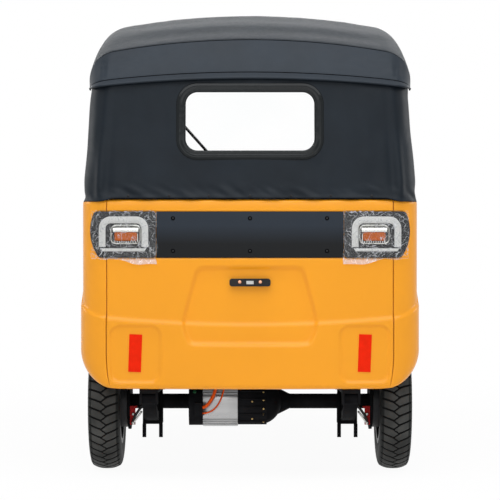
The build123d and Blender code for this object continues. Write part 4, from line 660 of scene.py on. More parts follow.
def piping(name, points, radius, material, sides=8, slot="canopy_cloth", body="vehicle"):
    """A round bead along a line of points."""
    vertices = []
    for index, point in enumerate(points):
        before, after = Vector(points[max(0, index - 1)]), Vector(points[min(len(points) - 1, index + 1)])
        along = (after - before).normalized()
        out = along.orthogonal().normalized()
        if abs(along.x) > 0.2:
            out = Vector((0, 0, 1)) - along * along.z
            out.normalize()
        over = along.cross(out)
        for step in range(sides):
            turn = 2 * pi * step / sides
            vertices.append(Vector(point) + out * cos(turn) * radius + over * sin(turn) * radius)
    faces = grid_faces(len(points), sides, closed=True)
    faces += [tuple(range(sides))[::-1], tuple((len(points) - 1) * sides + step for step in range(sides))]
    return make_piece(name, vertices, faces, material, body, slot)


section = both_halves(in_parts(SECTION_STEPS))
arc_rows = spread(ROOF_FRONT_Y, ROOF_REAR_Y, ROOF_STEP)
drop_rows = spread(0, 1, DROP_STEP)[1:]
roof_rows = [[over_bows(*place, y) for place in section] for y in arc_rows]
roof_rows += [[behind_bows(*place, drop) for place in section] for drop in drop_rows]
vertices, faces = strip(roof_rows, as_given)
# The band behind the bows and the roof's top take the lighter copies of the vinyl: painted light.
roof = make_piece("roof_cloth", vertices, faces, LIT_LIP_VINYL, slot="canopy_cloth", replaced=("canopy_roof",))
roof.data.materials.append(LIT_ROOF_VINYL)
for face in roof.data.polygons:
    if face.index < (len(arc_rows) - 1) * (len(section) - 1):
        face.material_index = 1
thicken(roof, ROOF_THICK)

# The beads along the two seams stand for the piping, near black as painted shade of the seams' shadow lines.
seam_drops = sum(drop < SEAM_DROP + DROP_STEP / 2 for drop in drop_rows)
for name, row, lift in zip(("roof_seam_shade_upper", "roof_seam_shade_lower"), (0, seam_drops), SEAM_LIFTS):
    seam_line = [(x, y - lift, z + lift) for x, y, z in roof_rows[len(arc_rows) - 1 + row]]
    piping(name, seam_line, SEAM_BEAD, SEAM)
lip_line = [point for point, (_, part, _) in zip(roof_rows[-1], section) if part < 2]
piping("roof_lip_bead", lip_line, LIP_BEAD, VINYL)

# Rear curtain: leans in on its way up, pulled at its snaps along the hem, with folds at the corners

CURTAIN_LOW_Z = 1017.3
CURTAIN_HEM_Z = 1021
HEM_DRAW = (9, 90)
HEM_SAG = 12
HEM_EASE = 30
HEM_PROUD = (1.5, 20)
CURTAIN_LOW = (610, REAR_Y + 10)
CURTAIN_RIDGE = (581, REAR_Y + RIDGE_INSET + 6.3)
CURTAIN_CORNER = 90
CURTAIN_FRONT_Y = QUARTER_FRONT_Y - QUARTER_SWEEP
CURTAIN_DROP = 174
CURTAIN_REACH = 6
CURTAIN_STEPS = (0.0095, 0.04, 0.02)
CURTAIN_RISE_STEP = 0.01
CURTAIN_THICK = 2
CURTAIN_FLAT = CURTAIN_LOW[0] - CURTAIN_CORNER
CURTAIN_PARTS = (CURTAIN_FLAT, 141, 450)
TOP_AHEAD = 40
TOP_EASE = 30
TOP_CALM = 0.25
SNAP_PITCH = 146
SNAP_ROW = 2
SNAP_Y = -1338
SNAP = (4.5, 3)
SNAP_FACING = (0, -1, 0.1)
SNAP_STEPS = range(-3, 4)
# Over the hem: height and reach of the puckers between snaps, and height, middle and reach of the pulls
PUCKER = (6.0, 30)
PULL = (5.0, 18, 34)
PULL_SLANT = 1.1
PULL_RUN = (40, 4)
# Height, size and seed of the slack cloth's coarse and fine folds, and how the fine ones are stretched
SLACK = ((5.0, 170, 6), (1.6, 60, 8))
SLACK_STRETCH = (1.4, 0.55)
# Height, place beyond the flat back and width of the ridge and hollow of each corner's fold
CORNER_FOLDS = ((7, 30, 15), (-4, 2, 16))
FOLD_FROM = 60
FOLD_FADE = (0.7, 240)
WINDOW = (0, 1300, 235, 108, 45)
WINDOW_CALM = (20, 60)
WINDOW_EDGE = 4


def curtain_lean(z):
    """Half width and rear place of the curtain at a height."""
    rise = (z - CURTAIN_LOW_Z) / (RIDGE_Z - CURTAIN_LOW_Z)
    return [low + rise * (high - low) for low, high in zip(CURTAIN_LOW, CURTAIN_RIDGE)]


def curtain_place(part, share, z, push=0.0):
    """Across and along of the curtain's right half, pushed in by push: its back, corner and side."""
    half, rear = curtain_lean(z)
    return plan_place(part, share, half - push, rear + push, CURTAIN_CORNER - push, CURTAIN_FRONT_Y)


def curtain_top(x, y):
    """Height at which the curtain goes under the roof."""
    side = ROOF_TOP_Z - ROOF_ARC + sqrt((ROOF_ARC - CURTAIN_DROP) ** 2 - y ** 2)
    under_lip = lip_z(x) + CURTAIN_REACH
    return under_lip + (side - under_lip) * smooth((y - ROOF_REAR_Y + TOP_EASE) / (2 * TOP_EASE))


def window_distance(x, z):
    """Distance outside the rear window, negative inside."""
    return rounded_distance(x - WINDOW[0], z - WINDOW[1], *WINDOW[2:])


def curtain_point(side, part, share, rise):
    """A point of the curtain, with puckers and pulls over its hem, a fold at each corner and slack cloth."""
    x, y = curtain_place(part, share, BELT_Z)
    top = curtain_top(x, y + TOP_AHEAD)
    along = sum(CURTAIN_PARTS[:part]) + CURTAIN_PARTS[part] * share
    round_corner = along - CURTAIN_FLAT
    hem_z = CURTAIN_HEM_Z - HEM_SAG * smooth((round_corner + HEM_EASE) / (2 * HEM_EASE))
    z = hem_z + (top - hem_z) * rise
    x, y = curtain_place(part, share, z)
    above = z - hem_z
    pucker = PUCKER[0] * (1 - cos(2 * pi * along / SNAP_PITCH)) / 2 * exp(-above / PUCKER[1])
    pull = PULL[0] * ripple(side * along + above * PULL_SLANT, 0, z, *PULL_RUN)
    pull *= exp(-((above - PULL[1]) / PULL[2]) ** 2)
    (coarse, *coarse_run), (fine, *fine_run) = SLACK
    slack = coarse * ripple(side * x, y, z, *coarse_run)
    slack += fine * ripple(side * along * SLACK_STRETCH[0], 0, z * SLACK_STRETCH[1], *fine_run)
    fold = sum(height * exp(-((round_corner - place) / width) ** 2) for height, place, width in CORNER_FOLDS)
    fold *= smooth(above / FOLD_FROM) * (1 - FOLD_FADE[0] * smooth((above - FOLD_FROM) / FOLD_FADE[1]))
    calm = smooth((window_distance(x, z) - WINDOW_CALM[0]) / WINDOW_CALM[1])
    calm *= TOP_CALM + (1 - TOP_CALM) * smooth((top - z) / TOP_AHEAD)
    out = HEM_PROUD[0] * (1 - smooth(above / HEM_PROUD[1])) + (pucker + pull + slack + fold) * calm
    drawn = HEM_DRAW[0] * (1 - smooth(above / HEM_DRAW[1])) * smooth(round_corner / HEM_DRAW[1])
    x, y = curtain_place(part, share, z, drawn - out)
    return side * x, y, z


def outside_window(row, column):
    """Whether a quad of the curtain is left in beside the window."""
    x, _, z = curtain_rows[row][column]
    return window_distance(x, z) > WINDOW_EDGE


curtain_columns = both_halves(in_parts(CURTAIN_STEPS))
curtain_rows = [[curtain_point(*place, rise) for place in curtain_columns]
                for rise in spread(0, 1, CURTAIN_RISE_STEP)]
curtain = make_piece("rear_curtain", [point for row in curtain_rows for point in row],
                     grid_faces(len(curtain_rows), len(curtain_columns), keep=outside_window), VINYL,
                     slot="canopy_cloth", replaced=("canopy_rear",))
thicken(curtain, CURTAIN_THICK)

# Snaps along the hem

STUD_PROFILE = ((1.0, 0.0), (1.0, 0.45), (0.86, 0.8), (0.5, 1.0), (0.12, 1.05))
STUD_SIDES = 20


def stud(place, facing, radius, height):
    """Vertices and faces of a small domed fastener that faces one way."""
    facing = Vector(facing).normalized()
    right = facing.orthogonal().normalized()
    up = facing.cross(right)
    turns = [2 * pi * step / STUD_SIDES for step in range(STUD_SIDES)]
    points = [Vector(place) + (right * cos(turn) + up * sin(turn)) * radius * share + facing * height * rise
              for share, rise in STUD_PROFILE for turn in turns]
    faces = grid_faces(len(STUD_PROFILE), STUD_SIDES, closed=True)
    faces.append(tuple(range(len(points) - STUD_SIDES, len(points))))
    return points, faces


def studs(name, places, radius, height, material, slot, body="vehicle"):
    """One piece of many small fasteners, each a place and the way it faces."""
    vertices, faces = merge(stud(place, facing, radius, height) for place, facing in places)
    return make_piece(name, vertices, faces, material, body, slot)


snap_places = []
for step in SNAP_STEPS:
    nearest = min(curtain_rows[SNAP_ROW],
                  key=lambda point: hypot(point[0] - step * SNAP_PITCH, (point[1] - SNAP_Y) * 0.2))
    snap_places.append((nearest, SNAP_FACING))
studs("hem_snaps", snap_places, *SNAP, BLACK, "bracket_steel")

# Rear window: a glossy welt round the pane

# How far out of the window's outline and how proud of the curtain each line of the welt is
WELT = ((-2, -4), (-1.5, 1), (1, 3.4), (4, 4.2), (8, 3.6), (11, 3.2), (14, 4.4), (20, 4.8), (25, 4.4),
        (27, 3.4), (30, 3.6), (32, 2.4), (33, -2))


def ring_piece(name, size, profile, place, material, slot, replaced=(), steps=14, filled=False):
    """A ring with rounded corners, or a plate: profile gives how far out and how proud each line is."""
    rows = [[(x + dx * (size[2] + out), z + dz * (size[2] + out), proud)
             for x, z, dx, dz in rounded_corners(*size, steps)] for out, proud in profile]
    vertices, faces = strip(rows, place, closed=True)
    if filled:
        faces.append(tuple(range(len(vertices) - len(rows[0]), len(vertices))))
    return make_piece(name, vertices, faces, material, slot=slot, replaced=replaced)


def on_curtain(x, z, proud):
    """A point on the back of the curtain, x across and z up from the window's middle."""
    height = WINDOW[1] + z
    half, rear = curtain_lean(height)
    return x, rear + BODY_BOW * (x / (half - CURTAIN_CORNER)) ** 2 - proud, height


ring_piece("window_welt", WINDOW[2:], WELT, on_curtain, GLOSS_VINYL, "border_vinyl", ("rear_window_border",))

# Tyres: a tread of zigzag blocks parted by grooves, with ribs on the shoulders and plain side walls

# Half width and radius of each line of a side wall, from the bead to the shoulder
TYRE_SECTION = ((50, 153), (51, 160), (53.5, 170), (57, 186), (59.5, 204), (59, 218), (56, 231), (52.5, 239))
TREAD_HALF = 51
TREAD_STEP = 2.0
TREAD_RADIUS = 254
TREAD_CROWN = 2.6
SHOULDER_RADIUS = 241
# Beyond this distance off the tread's middle, faces take the darker wall rubber: painted shade.
SHOULDER_RIBS = (214, 236, 1.6)
WALL_SHADE_FROM = 43
GROOVE = 7
GROOVE_EDGE = (1.5, 2.0)
GROOVE_SHADE_SHARE = 0.45
TREAD_PITCHES = 46
ZIGZAG = 11
BAR_FROM = 0.6
BAR_SLANT = 0.35
TYRE_STEPS = 828
WHEEL_X = 540
FRONT_AXLE_Y = 1052


def groove_cut(off):
    """How deep a groove is, 0 to 1, at a distance from its middle."""
    return 1 - smooth((off - GROOVE_EDGE[0]) / GROOVE_EDGE[1])


def tread_cut(across, turn):
    """How deep the tread is cut: a zigzag round the middle and slanted bars out to the shoulders."""
    phase = turn * TREAD_PITCHES / (2 * pi)
    swing = abs((phase % 1) * 2 - 1) * 2 - 1
    cut = groove_cut(abs(across - ZIGZAG * swing))
    pitch = 2 * pi * TREAD_RADIUS / TREAD_PITCHES
    for side, shift in ((-1, 0.0), (1, 0.5)):
        reach = side * across - ZIGZAG * BAR_FROM
        if reach > 0:
            slant = BAR_SLANT * reach / pitch
            cut = max(cut, groove_cut(abs((phase + shift + slant) % 1 - 0.5) * pitch))
    return cut


def crown_radius(across):
    """Radius of the uncut tread."""
    return SHOULDER_RADIUS + (TREAD_RADIUS - SHOULDER_RADIUS) * (1 - abs(across / TREAD_HALF) ** TREAD_CROWN)


tyre_columns = [(-half, radius, False) for half, radius in TYRE_SECTION]
tread_across = spread(-TREAD_HALF, TREAD_HALF, TREAD_STEP)
tyre_columns += [(across, crown_radius(across), True) for across in tread_across]
tyre_columns += [(half, radius, False) for half, radius in reversed(TYRE_SECTION)]


def tyre(name, body, centre, node):
    """One tyre round an axle across the vehicle."""
    low, high, rib = SHOULDER_RIBS
    vertices, depths = [], []
    for step in range(TYRE_STEPS):
        turn = 2 * pi * step / TYRE_STEPS
        for across, radius, tread in tyre_columns:
            depth = GROOVE * tread_cut(across, turn) if tread else 0.0
            if not tread and low < radius < high:
                depth = -rib * smooth(cos(turn * TREAD_PITCHES * 2) * 3)
            depths.append(depth)
            r = radius - depth
            vertices.append((centre[0] + across, centre[1] + r * cos(turn), centre[2] + r * sin(turn)))
    columns = len(tyre_columns)
    rounds = [(row * columns, (row + 1) % TYRE_STEPS * columns) for row in range(TYRE_STEPS)]
    faces = [(near + column, near + column + 1, far + column + 1, far + column)
             for near, far in rounds for column in range(columns - 1)]
    faces += [(far, far + columns - 1, near + columns - 1, near) for near, far in rounds]
    piece = make_piece(name, vertices, faces, RUBBER, body, "tyre_rubber", (node,))
    piece.data.materials.append(GROOVE_SHADE_RUBBER)
    piece.data.materials.append(WALL_SHADE_RUBBER)
    # Faces deep in a groove take the darker groove rubber: painted shade in the grooves.
    for face in piece.data.polygons:
        if any(depths[index] > GROOVE_SHADE_SHARE * GROOVE for index in face.vertices):
            face.material_index = 1
        elif min(abs(tyre_columns[index % columns][0]) for index in face.vertices) > WALL_SHADE_FROM:
            face.material_index = 2


tyre("tyre_tread_left", "rear_wheel_left", (-WHEEL_X, REAR_AXLE_Y, TREAD_RADIUS), "tyre_rear_left")
tyre("tyre_tread_right", "rear_wheel_right", (WHEEL_X, REAR_AXLE_Y, TREAD_RADIUS), "tyre_rear_right")
tyre("tyre_tread_front", "front_wheel", (0, FRONT_AXLE_Y, TREAD_RADIUS), "tyre_front")

# Rear lamps: a pale C-shaped light guide and bar round a bright bezel with an amber lens, under a clear film

LAMP_X = 457
LAMP_FACE = 4
GUIDE_HALF = 90
GUIDE_TOP_Z = 955
GUIDE_FOOT_Z = 845
GUIDE_WIDTH = 25
GUIDE_CORNER = 44
GUIDE_STEPS = 10
GUIDE_PROUD = 3.5
# Share of the width and of the height along the guide's section
GUIDE_PROFILE = ((0, 0), (0, 0.7), (0.08, 1), (0.92, 1), (1, 0.7), (1, 0))
BAR_Z = (829, 840)
BAR_HALF = 76
# Share of the bar's half width, and how far its end slopes
BAR_ENDS = ((-1, 0.6), (-0.4, 0), (0.2, 0), (1, 0.6))
FLUTE_HALF = 74
FLUTE_PITCH = 8.2
FLUTE_STEP = 1.5
FLUTE_PROUD = (0.9, 1.1)
FLUTE_ROWS = (GUIDE_FOOT_Z + 1, 860, 880, 900, GUIDE_TOP_Z - GUIDE_WIDTH + 2)
BEZEL_X = LAMP_X - 8
BEZEL_Z = 890
BEZEL = (53, 33, 17)
BEZEL_STEPS = 8
BEZEL_PROFILE = ((3.5, 0), (3.5, 4), (2, 7), (0, 8), (-2, 7.4), (-3.5, 5), (-4.5, 1))
BOWL_Z = (898, 917)
BOWL_HALF = 46
BOWL_STEP = 6
BOWL_PROUD = (0.4, 1.5, 6)
BOWL_START = 0.15
AMBER_Z = (866, 899)
AMBER_HALF = 42
AMBER_CORNER = 9
AMBER_DOME = 5.5
AMBER_EDGE = 5
AMBER_PROUD = 1.2
AMBER_RIB = (0.35, 5.2)


def on_back(x, z, proud):
    """A point off the rear body's outline, proud of its outermost face, for either side."""
    side = -1 if x < 0 else 1
    across = abs(x)
    if across <= FLAT_S:
        return x, REAR_Y + BODY_BOW * (across / FLAT_S) ** 2 - proud, z
    radius = BODY_CORNER + proud
    turn = asin(min(1, (across - FLAT_S) / radius))
    return side * (FLAT_S + radius * sin(turn)), REAR_Y + BODY_BOW + BODY_CORNER - radius * cos(turn), z


def both_sides(name, form, material, slot, replaced=()):
    """One piece of a right-hand form and its mirror image."""
    points, faces = form
    mirrored = [(-x, y, z) for x, y, z in points], [face[::-1] for face in faces]
    return make_piece(name, *merge((form, mirrored)), material, slot=slot, replaced=replaced)


def guide_path():
    """The open line of a guide, up one leg, over and down the other, with the way out at each point."""
    path = [(-GUIDE_HALF, GUIDE_FOOT_Z, -1, 0)]
    for centre_x, start in ((GUIDE_CORNER - GUIDE_HALF, pi), (GUIDE_HALF - GUIDE_CORNER, pi / 2)):
        for step in range(GUIDE_STEPS + 1):
            turn = start - pi / 2 * step / GUIDE_STEPS
            path.append((centre_x + GUIDE_CORNER * cos(turn),
                         GUIDE_TOP_Z - GUIDE_CORNER + GUIDE_CORNER * sin(turn), cos(turn), sin(turn)))
    return path + [(GUIDE_HALF, GUIDE_FOOT_Z, 1, 0)]


def light_guide():
    """The C-shaped guide and the bar under it."""
    guide, bar = [], []
    low, high = BAR_Z
    for share, rise in GUIDE_PROFILE:
        proud, inset, climb = GUIDE_PROUD * rise - LAMP_FACE, GUIDE_WIDTH * share, (high - low) * share
        guide.append([(LAMP_X + x - dx * inset, z - dz * inset, proud) for x, z, dx, dz in guide_path()])
        bar.append([(LAMP_X + end * (BAR_HALF + slope * climb), low + climb, proud)
                    for end, slope in BAR_ENDS])
    return merge((strip(guide, on_back), strip(bar, on_back)))


def fluted_reflector():
    """Dark reflector inside the guide, with upright flutes."""
    mean, wave = FLUTE_PROUD
    across = spread(-FLUTE_HALF, FLUTE_HALF, FLUTE_STEP)
    columns = [(x, mean + wave * sin(x * 2 * pi / FLUTE_PITCH)) for x in across]
    return strip([[(LAMP_X + x, z, proud - LAMP_FACE) for x, proud in columns] for z in FLUTE_ROWS], on_back)


def bezel():
    """Bright rim round the amber lens."""
    radius = BEZEL[2]
    rows = [[(BEZEL_X + x + dx * (radius + out), BEZEL_Z + z + dz * (radius + out), rise - LAMP_FACE)
             for x, z, dx, dz in rounded_corners(*BEZEL, BEZEL_STEPS)] for out, rise in BEZEL_PROFILE]
    return strip(rows, on_back, closed=True)


def bowl():
    """Bright curved surface above the lens, and the flat behind the lens."""
    flat, start, swell = BOWL_PROUD
    low, high = BOWL_Z
    levels = [(AMBER_Z[0] - AMBER_EDGE, flat), (low, flat)]
    levels += [(low + (high - low) * share, start + swell * sin(pi * (BOWL_START + (1 - BOWL_START) * share)))
               for share in spread(0, 1, 0.1)]
    columns = spread(-BOWL_HALF, BOWL_HALF, BOWL_STEP)
    return strip([[(BEZEL_X + x, z, proud - LAMP_FACE) for x in columns] for z, proud in levels], on_back)


def amber_proud(x, up):
    """Height of the lens at a place off its middle, domed inside its edge and finely ribbed."""
    edge = rounded_distance(x, up, AMBER_HALF, (AMBER_Z[1] - AMBER_Z[0]) / 2, AMBER_CORNER)
    dome = smooth(-edge / AMBER_EDGE) * AMBER_DOME if edge < 0 else -1.0
    return AMBER_PROUD + dome + AMBER_RIB[0] * sin(x * 2 * pi / AMBER_RIB[1])


def amber_lens():
    """Domed lens with fine upright ribs."""
    low, high = AMBER_Z
    columns = spread(-AMBER_HALF, AMBER_HALF, 1.0)
    ups = [rise * (high - low) / 2 for rise in spread(-1, 1, 0.08)]
    return strip([[(BEZEL_X + x, (low + high) / 2 + up, amber_proud(x, up) - LAMP_FACE) for x in columns]
                  for up in ups], on_back)


both_sides("light_guides", light_guide(), RING, "ring_plastic", ("tail_lamp_rings",))
both_sides("fluted_reflectors", fluted_reflector(), GLOSS_BLACK, "black_plastic")
both_sides("lamp_bezels", bezel(), DARK_CHROME, "lamp_lens")
both_sides("lamp_bowls", bowl(), CHROME, "lamp_lens")
both_sides("amber_domes", amber_lens(), AMBER, "amber_lens", ("indicator_lenses",))

# Clear film left over each lamp, creased and loose at its edges

FILM_X = (336, 576)
FILM_Z = (801, 976)
FILM_PROUD = 9
FILM_WAVES = ((2.2, 16), (1.4, 7))
FILM_DROP = 6
FILM_OFF = 2.5
FILM_STEPS = (0.02, 0.025)
# Height, stretch and size of the wander of its sides, its foot and its head
FILM_WANDER = ((5, 60, 14), (4, 90, 16), (5, 90, 20))
FLAP = (18, 0.62, 0.3)
FLAP_Z = (796, 806)
FLAP_ALPHA = 0.4
CLEAR_ALPHA = 0.02
# Scale of each run of crease glints, their width in the noise and how pale they are (painted highlights)
CREASE_GLINTS = ((24, 0.026, 0.5), (60, 0.03, 0.16))


def film_material():
    """Nearly clear sheet: pale lines on its creases are painted highlights, and its hanging flap is paler."""
    material = shade("loose_film", (0.88, 0.89, 0.92), 0.2, mottle=0.02, uneven=0.1)
    tree = material.node_tree
    place = add_node(tree, "TexCoord", {}).outputs["Object"]
    runs = []
    for scale, width, glint_alpha in CREASE_GLINTS:
        glint_noise = add_node(tree, "TexNoise", {
            "Scale": scale, "Detail": 3, "Distortion": 1.5, "Vector": place})
        middle = add_node(tree, "Math", {0: glint_noise.outputs["Fac"], 1: 0.5}, "SUBTRACT")
        fold = add_node(tree, "Math", {0: middle.outputs[0]}, "ABSOLUTE")
        line = add_node(tree, "MapRange", {"Value": fold.outputs[0], "From Max": width, "To Min": glint_alpha,
                                           "To Max": CLEAR_ALPHA})
        runs.append(line.outputs["Result"])
    # The pale crease lines are painted highlights where the crinkled film would catch the light.
    lines = add_node(tree, "Math", dict(enumerate(runs)), "MAXIMUM")
    split = add_node(tree, "SeparateXYZ", {"Vector": place})
    hang = add_node(tree, "MapRange", {
        "Value": split.outputs["Z"], "From Min": FLAP_Z[0] * MM, "From Max": FLAP_Z[1] * MM,
        "To Min": FLAP_ALPHA, "To Max": 0.0})
    total = add_node(tree, "Math", {0: lines.outputs[0], 1: hang.outputs["Result"]}, "ADD")
    total.use_clamp = True
    tree.links.new(total.outputs[0], tree.nodes["Principled BSDF"].inputs["Alpha"])
    return material


FILM = film_material()


def film_point(across, up, seed):
    """Across, up and proud of a point of the right-hand film, whose outline wanders and whose flap hangs."""
    flap, flap_end, flap_ease = FLAP
    sides, foot, head = FILM_WANDER
    x = FILM_X[0] + (FILM_X[1] - FILM_X[0]) * across + sides[0] * ripple(0, up * sides[1], 0, sides[2], seed)
    low = FILM_Z[0] - flap * smooth((flap_end - across) / flap_ease)
    low += foot[0] * ripple(across * foot[1], 0, 0, foot[2], seed + 3)
    high = FILM_Z[1] + head[0] * ripple(across * head[1], 3, 0, head[2], seed + 5)
    z = low + (high - low) * up
    proud = FILM_PROUD - LAMP_FACE
    for run, (height, size) in enumerate(FILM_WAVES):
        proud += height * ripple(x, z, 0, size, seed + 1 + run)
    if lamp_distance(x, z) > 0:
        proud = max(proud - FILM_DROP, FILM_OFF - LEDGE)
    return x, z, proud


film_columns, film_levels = (spread(0, 1, step) for step in FILM_STEPS)
for name, side, seed in (("lamp_film_left", -1, 11), ("lamp_film_right", 1, 23)):
    film_rows = [[film_point(across, up, seed) for across in film_columns] for up in film_levels]
    vertices, faces = strip(film_rows, lambda x, z, proud: on_back(side * x, z, proud))
    film = make_piece(name, vertices, faces, FILM, slot="clear_film")

# Band screws, number plate bracket and reflectors

BAND_SCREW_X = (-278, 0, 278)
BAND_SCREW_RISE = (-59, 59)
# How proud its foot is, radius and height
BAND_SCREW = (0.6, 7.5, 2.2)
BAND_SCREW_HEAD = (2.4, 3.4, 1.6)
BRACKET_Z = 717
BRACKET_FACE_Y = -1347
BRACKET_SCREW_X = 37
BRACKET_SCREW = (6.0, 2.0)
BRACKET_SCREW_Z = BRACKET_Z + 2
TAG = (13, 6, 0.9)
# Middle across and up, width, height and lean in degrees
REFLECTOR = (415, 461, 46, 136, 2)
REFLECTOR_PROUD = (0.2, 3)
REFLECTOR_FACES = ((4, 5, 6, 7), (0, 1, 5, 4), (1, 2, 6, 5), (2, 3, 7, 6), (3, 0, 4, 7))


def band_screws(name, proud, radius, height, material):
    """One layer of the screws that hold the tail band."""
    places = [(on_back(x, BAND_MID_Z + rise, proud - LEDGE), (0, -1, 0))
              for x in BAND_SCREW_X for rise in BAND_SCREW_RISE]
    studs(name, places, radius, height, material, "black_plastic")


def reflector(side):
    """Vertices and faces of one flat reflector, set a little off upright."""
    middle_x, middle_z, width, height, lean = REFLECTOR
    vertices = []
    for proud in REFLECTOR_PROUD:
        for sx, sz in ((-1, -1), (1, -1), (1, 1), (-1, 1)):
            across, up = sx * width / 2, sz * height / 2
            x = side * middle_x + across * cos(radians(lean)) + up * sin(radians(lean))
            z = middle_z + up * cos(radians(lean)) - across * sin(radians(lean))
            vertices.append(on_back(x, z, proud - PAD_DEPTH))
    return vertices, REFLECTOR_FACES


band_screws("band_screws", *BAND_SCREW, SEAM)
band_screws("band_screw_heads", *BAND_SCREW_HEAD, GLOSS_BLACK)
bracket_places = [((side * BRACKET_SCREW_X, BRACKET_FACE_Y, BRACKET_SCREW_Z), (0, -1, 0)) for side in (-1, 1)]
studs("bracket_screws", bracket_places, *BRACKET_SCREW, COPPER, "bracket_steel")
tag_points = [(x, BRACKET_FACE_Y - TAG[2], BRACKET_Z + z)
              for z in (-TAG[1], TAG[1]) for x in (-TAG[0], TAG[0])]
make_piece("bracket_tag", tag_points, [(0, 1, 3, 2)], RING, slot="bracket_steel")
make_piece("reflector_plates", *merge(reflector(side) for side in (-1, 1)), RED, slot="red_reflector",
           replaced=("rear_reflectors",), flat=True)

# Drive: a finned motor case beside a ribbed gearbox with small bolts, and steel adjusters on the brake cables

MOTOR_X = (-175, -45)
MOTOR_Y = -1076
MOTOR_HALF = 80
MOTOR_CORNER = 58
MOTOR_STEPS = 60
MOTOR_STEP = 1.5
MOTOR_BEVEL = 2
MOTOR_GROOVES = (-69, -60, -51, 42, 52, 60, 68)
MOTOR_GROOVE = (8, 1.4, 1.8)
GEARBOX_RADIUS = 76
GEARBOX_X = (-43, 58)
RIB_RISES = (-60, -32, -4, 24, 52)
RIB_PROUD, RIB_SUNK, RIB_HALF = 5, 8, 2
# Where a row of gearbox bolts is across, and how far round each bolt is
BOLT_ROWS = ((50, (-52, -24, -8, 16, 40, 62)), (8, (-40, 12)))
BULGE_MIDDLE = (34, -1000, AXLE_Z)
BULGE_RADII = (84, 92, 83)
BULGE_END = 1.55
BOLT = (3.6, 4)
LIGHT_PLACE = (-205, MOTOR_Y - 60, AXLE_Z + 51)
LIGHT_FACING = (0, -0.75, 0.65)
LIGHT = (7, 2)
ADJUSTER = ((441, -1062, 176), (405, -1062, 226))
ADJUSTER_RADIUS = 3.8
BRAKE_NUT_PLACE = (438, -1050, 214)
BRAKE_NUT = (6, 5)
FLANGE_X = (424, 452)
FLANGE_Y = (-1052, -1020)
FLANGE_Z = (236, 244)


def motor_section():
    """Back, under and top of the case as a line of points, with its grooves cut in."""
    points = [(y + MOTOR_CORNER * dy, z + MOTOR_CORNER * dz)
              for y, z, dy, dz in rounded_corners(MOTOR_HALF, MOTOR_HALF, MOTOR_CORNER, MOTOR_STEPS)]
    flat = MOTOR_HALF - MOTOR_CORNER
    half_way = len(points) // 2
    points[half_way:half_way] = [(-MOTOR_HALF, z) for z in spread(flat, -flat, MOTOR_STEP)[1:-1]]
    deepest, half_width, ease = MOTOR_GROOVE
    cut = []
    for y, z in points:
        nearest = min(abs(z - groove) for groove in MOTOR_GROOVES)
        depth = (1 - smooth((nearest - half_width) / ease)) * deepest
        cut.append((y + depth if y < 0 else y - depth, z))
    return cut


def box(low, high):
    """Vertices and faces of a plain block."""
    points = [(x, y, z) for z in (low[2], high[2]) for y in (low[1], high[1]) for x in (low[0], high[0])]
    return points, [(0, 2, 3, 1), (4, 5, 7, 6), (0, 1, 5, 4), (2, 6, 7, 3), (0, 4, 6, 2), (1, 3, 7, 5)]


def blocks(name, places, material, slot):
    """One piece of several blocks, each given by two corners."""
    vertices, faces = merge(box(low, high) for low, high in places)
    return make_piece(name, vertices, faces, material, slot=slot, flat=True)


def bulge(name, centre, radii, material, slot):
    """A smooth swollen casting."""
    rows = [[(centre[0] + radii[0] * cos(up) * cos(turn), centre[1] + radii[1] * cos(up) * sin(turn),
              centre[2] + radii[2] * sin(up)) for turn in spread(0, 2 * pi, pi / 30)[:-1]]
            for up in spread(-BULGE_END, BULGE_END, 0.08)]
    vertices, faces = strip(rows, as_given, closed=True)
    return make_piece(name, vertices, faces, material, slot=slot)


motor_line = motor_section()
motor_ends = ((MOTOR_X[0], MOTOR_BEVEL), (MOTOR_X[0] + MOTOR_BEVEL, 0), (MOTOR_X[1] - MOTOR_BEVEL, 0),
              (MOTOR_X[1], MOTOR_BEVEL))
motor_rows = [[(x, MOTOR_Y + y * (1 - inset / MOTOR_HALF), AXLE_Z + z * (1 - inset / MOTOR_HALF))
               for y, z in motor_line] for x, inset in motor_ends]
vertices, faces = strip(motor_rows, as_given, closed=True)
faces += [tuple(range(len(motor_line)))[::-1], tuple(range(len(vertices) - len(motor_line), len(vertices)))]
make_piece("motor_case", vertices, faces, ALUMINIUM, slot="bare_aluminium", replaced=("drive_motor",))

ribs = []
for rise in RIB_RISES:
    back_y = MOTOR_Y - sqrt(GEARBOX_RADIUS ** 2 - rise ** 2)
    ribs.append(((GEARBOX_X[0], back_y - RIB_PROUD, AXLE_Z + rise - RIB_HALF),
                 (GEARBOX_X[1], back_y + RIB_SUNK, AXLE_Z + rise + RIB_HALF)))
blocks("gearbox_ribs", ribs, CHASSIS, "axle_black")
bolts = []
for x, turns in BOLT_ROWS:
    for turn in turns:
        out = Vector((0, -cos(radians(turn)), sin(radians(turn))))
        bolts.append((Vector((x, MOTOR_Y, AXLE_Z)) + out * GEARBOX_RADIUS, out))
studs("gearbox_bolts", bolts, *BOLT, BRASS, "axle_black")
studs("motor_light", [(LIGHT_PLACE, LIGHT_FACING)], *LIGHT, GREEN, "black_paint")
for side, end in ((-1, "left"), (1, "right")):
    foot, top, nut = (Vector((side * x, y, z)) for x, y, z in (*ADJUSTER, BRAKE_NUT_PLACE))
    adjuster = [foot.lerp(top, share) for share in spread(0, 1, 0.1)]
    piping(f"brake_adjuster_{end}", adjuster, ADJUSTER_RADIUS, STEEL, slot="bracket_steel")
    nuts = [(place, (0, -1, 0)) for place in (adjuster[1], nut)]
    studs(f"brake_nuts_{end}", nuts, *BRAKE_NUT, STEEL, "bracket_steel")
flanges = [((low, FLANGE_Y[0], FLANGE_Z[0]), (high, FLANGE_Y[1], FLANGE_Z[1]))
           for low, high in ((-FLANGE_X[1], -FLANGE_X[0]), FLANGE_X)]
blocks("brake_flanges", flanges, BRAKE_RED, "brake_red")
bulge("gearbox_bulge", BULGE_MIDDLE, BULGE_RADII, CHASSIS, "axle_black")

# Seats: crowned cushions and backrests with a welt round the edge and stitched channels across

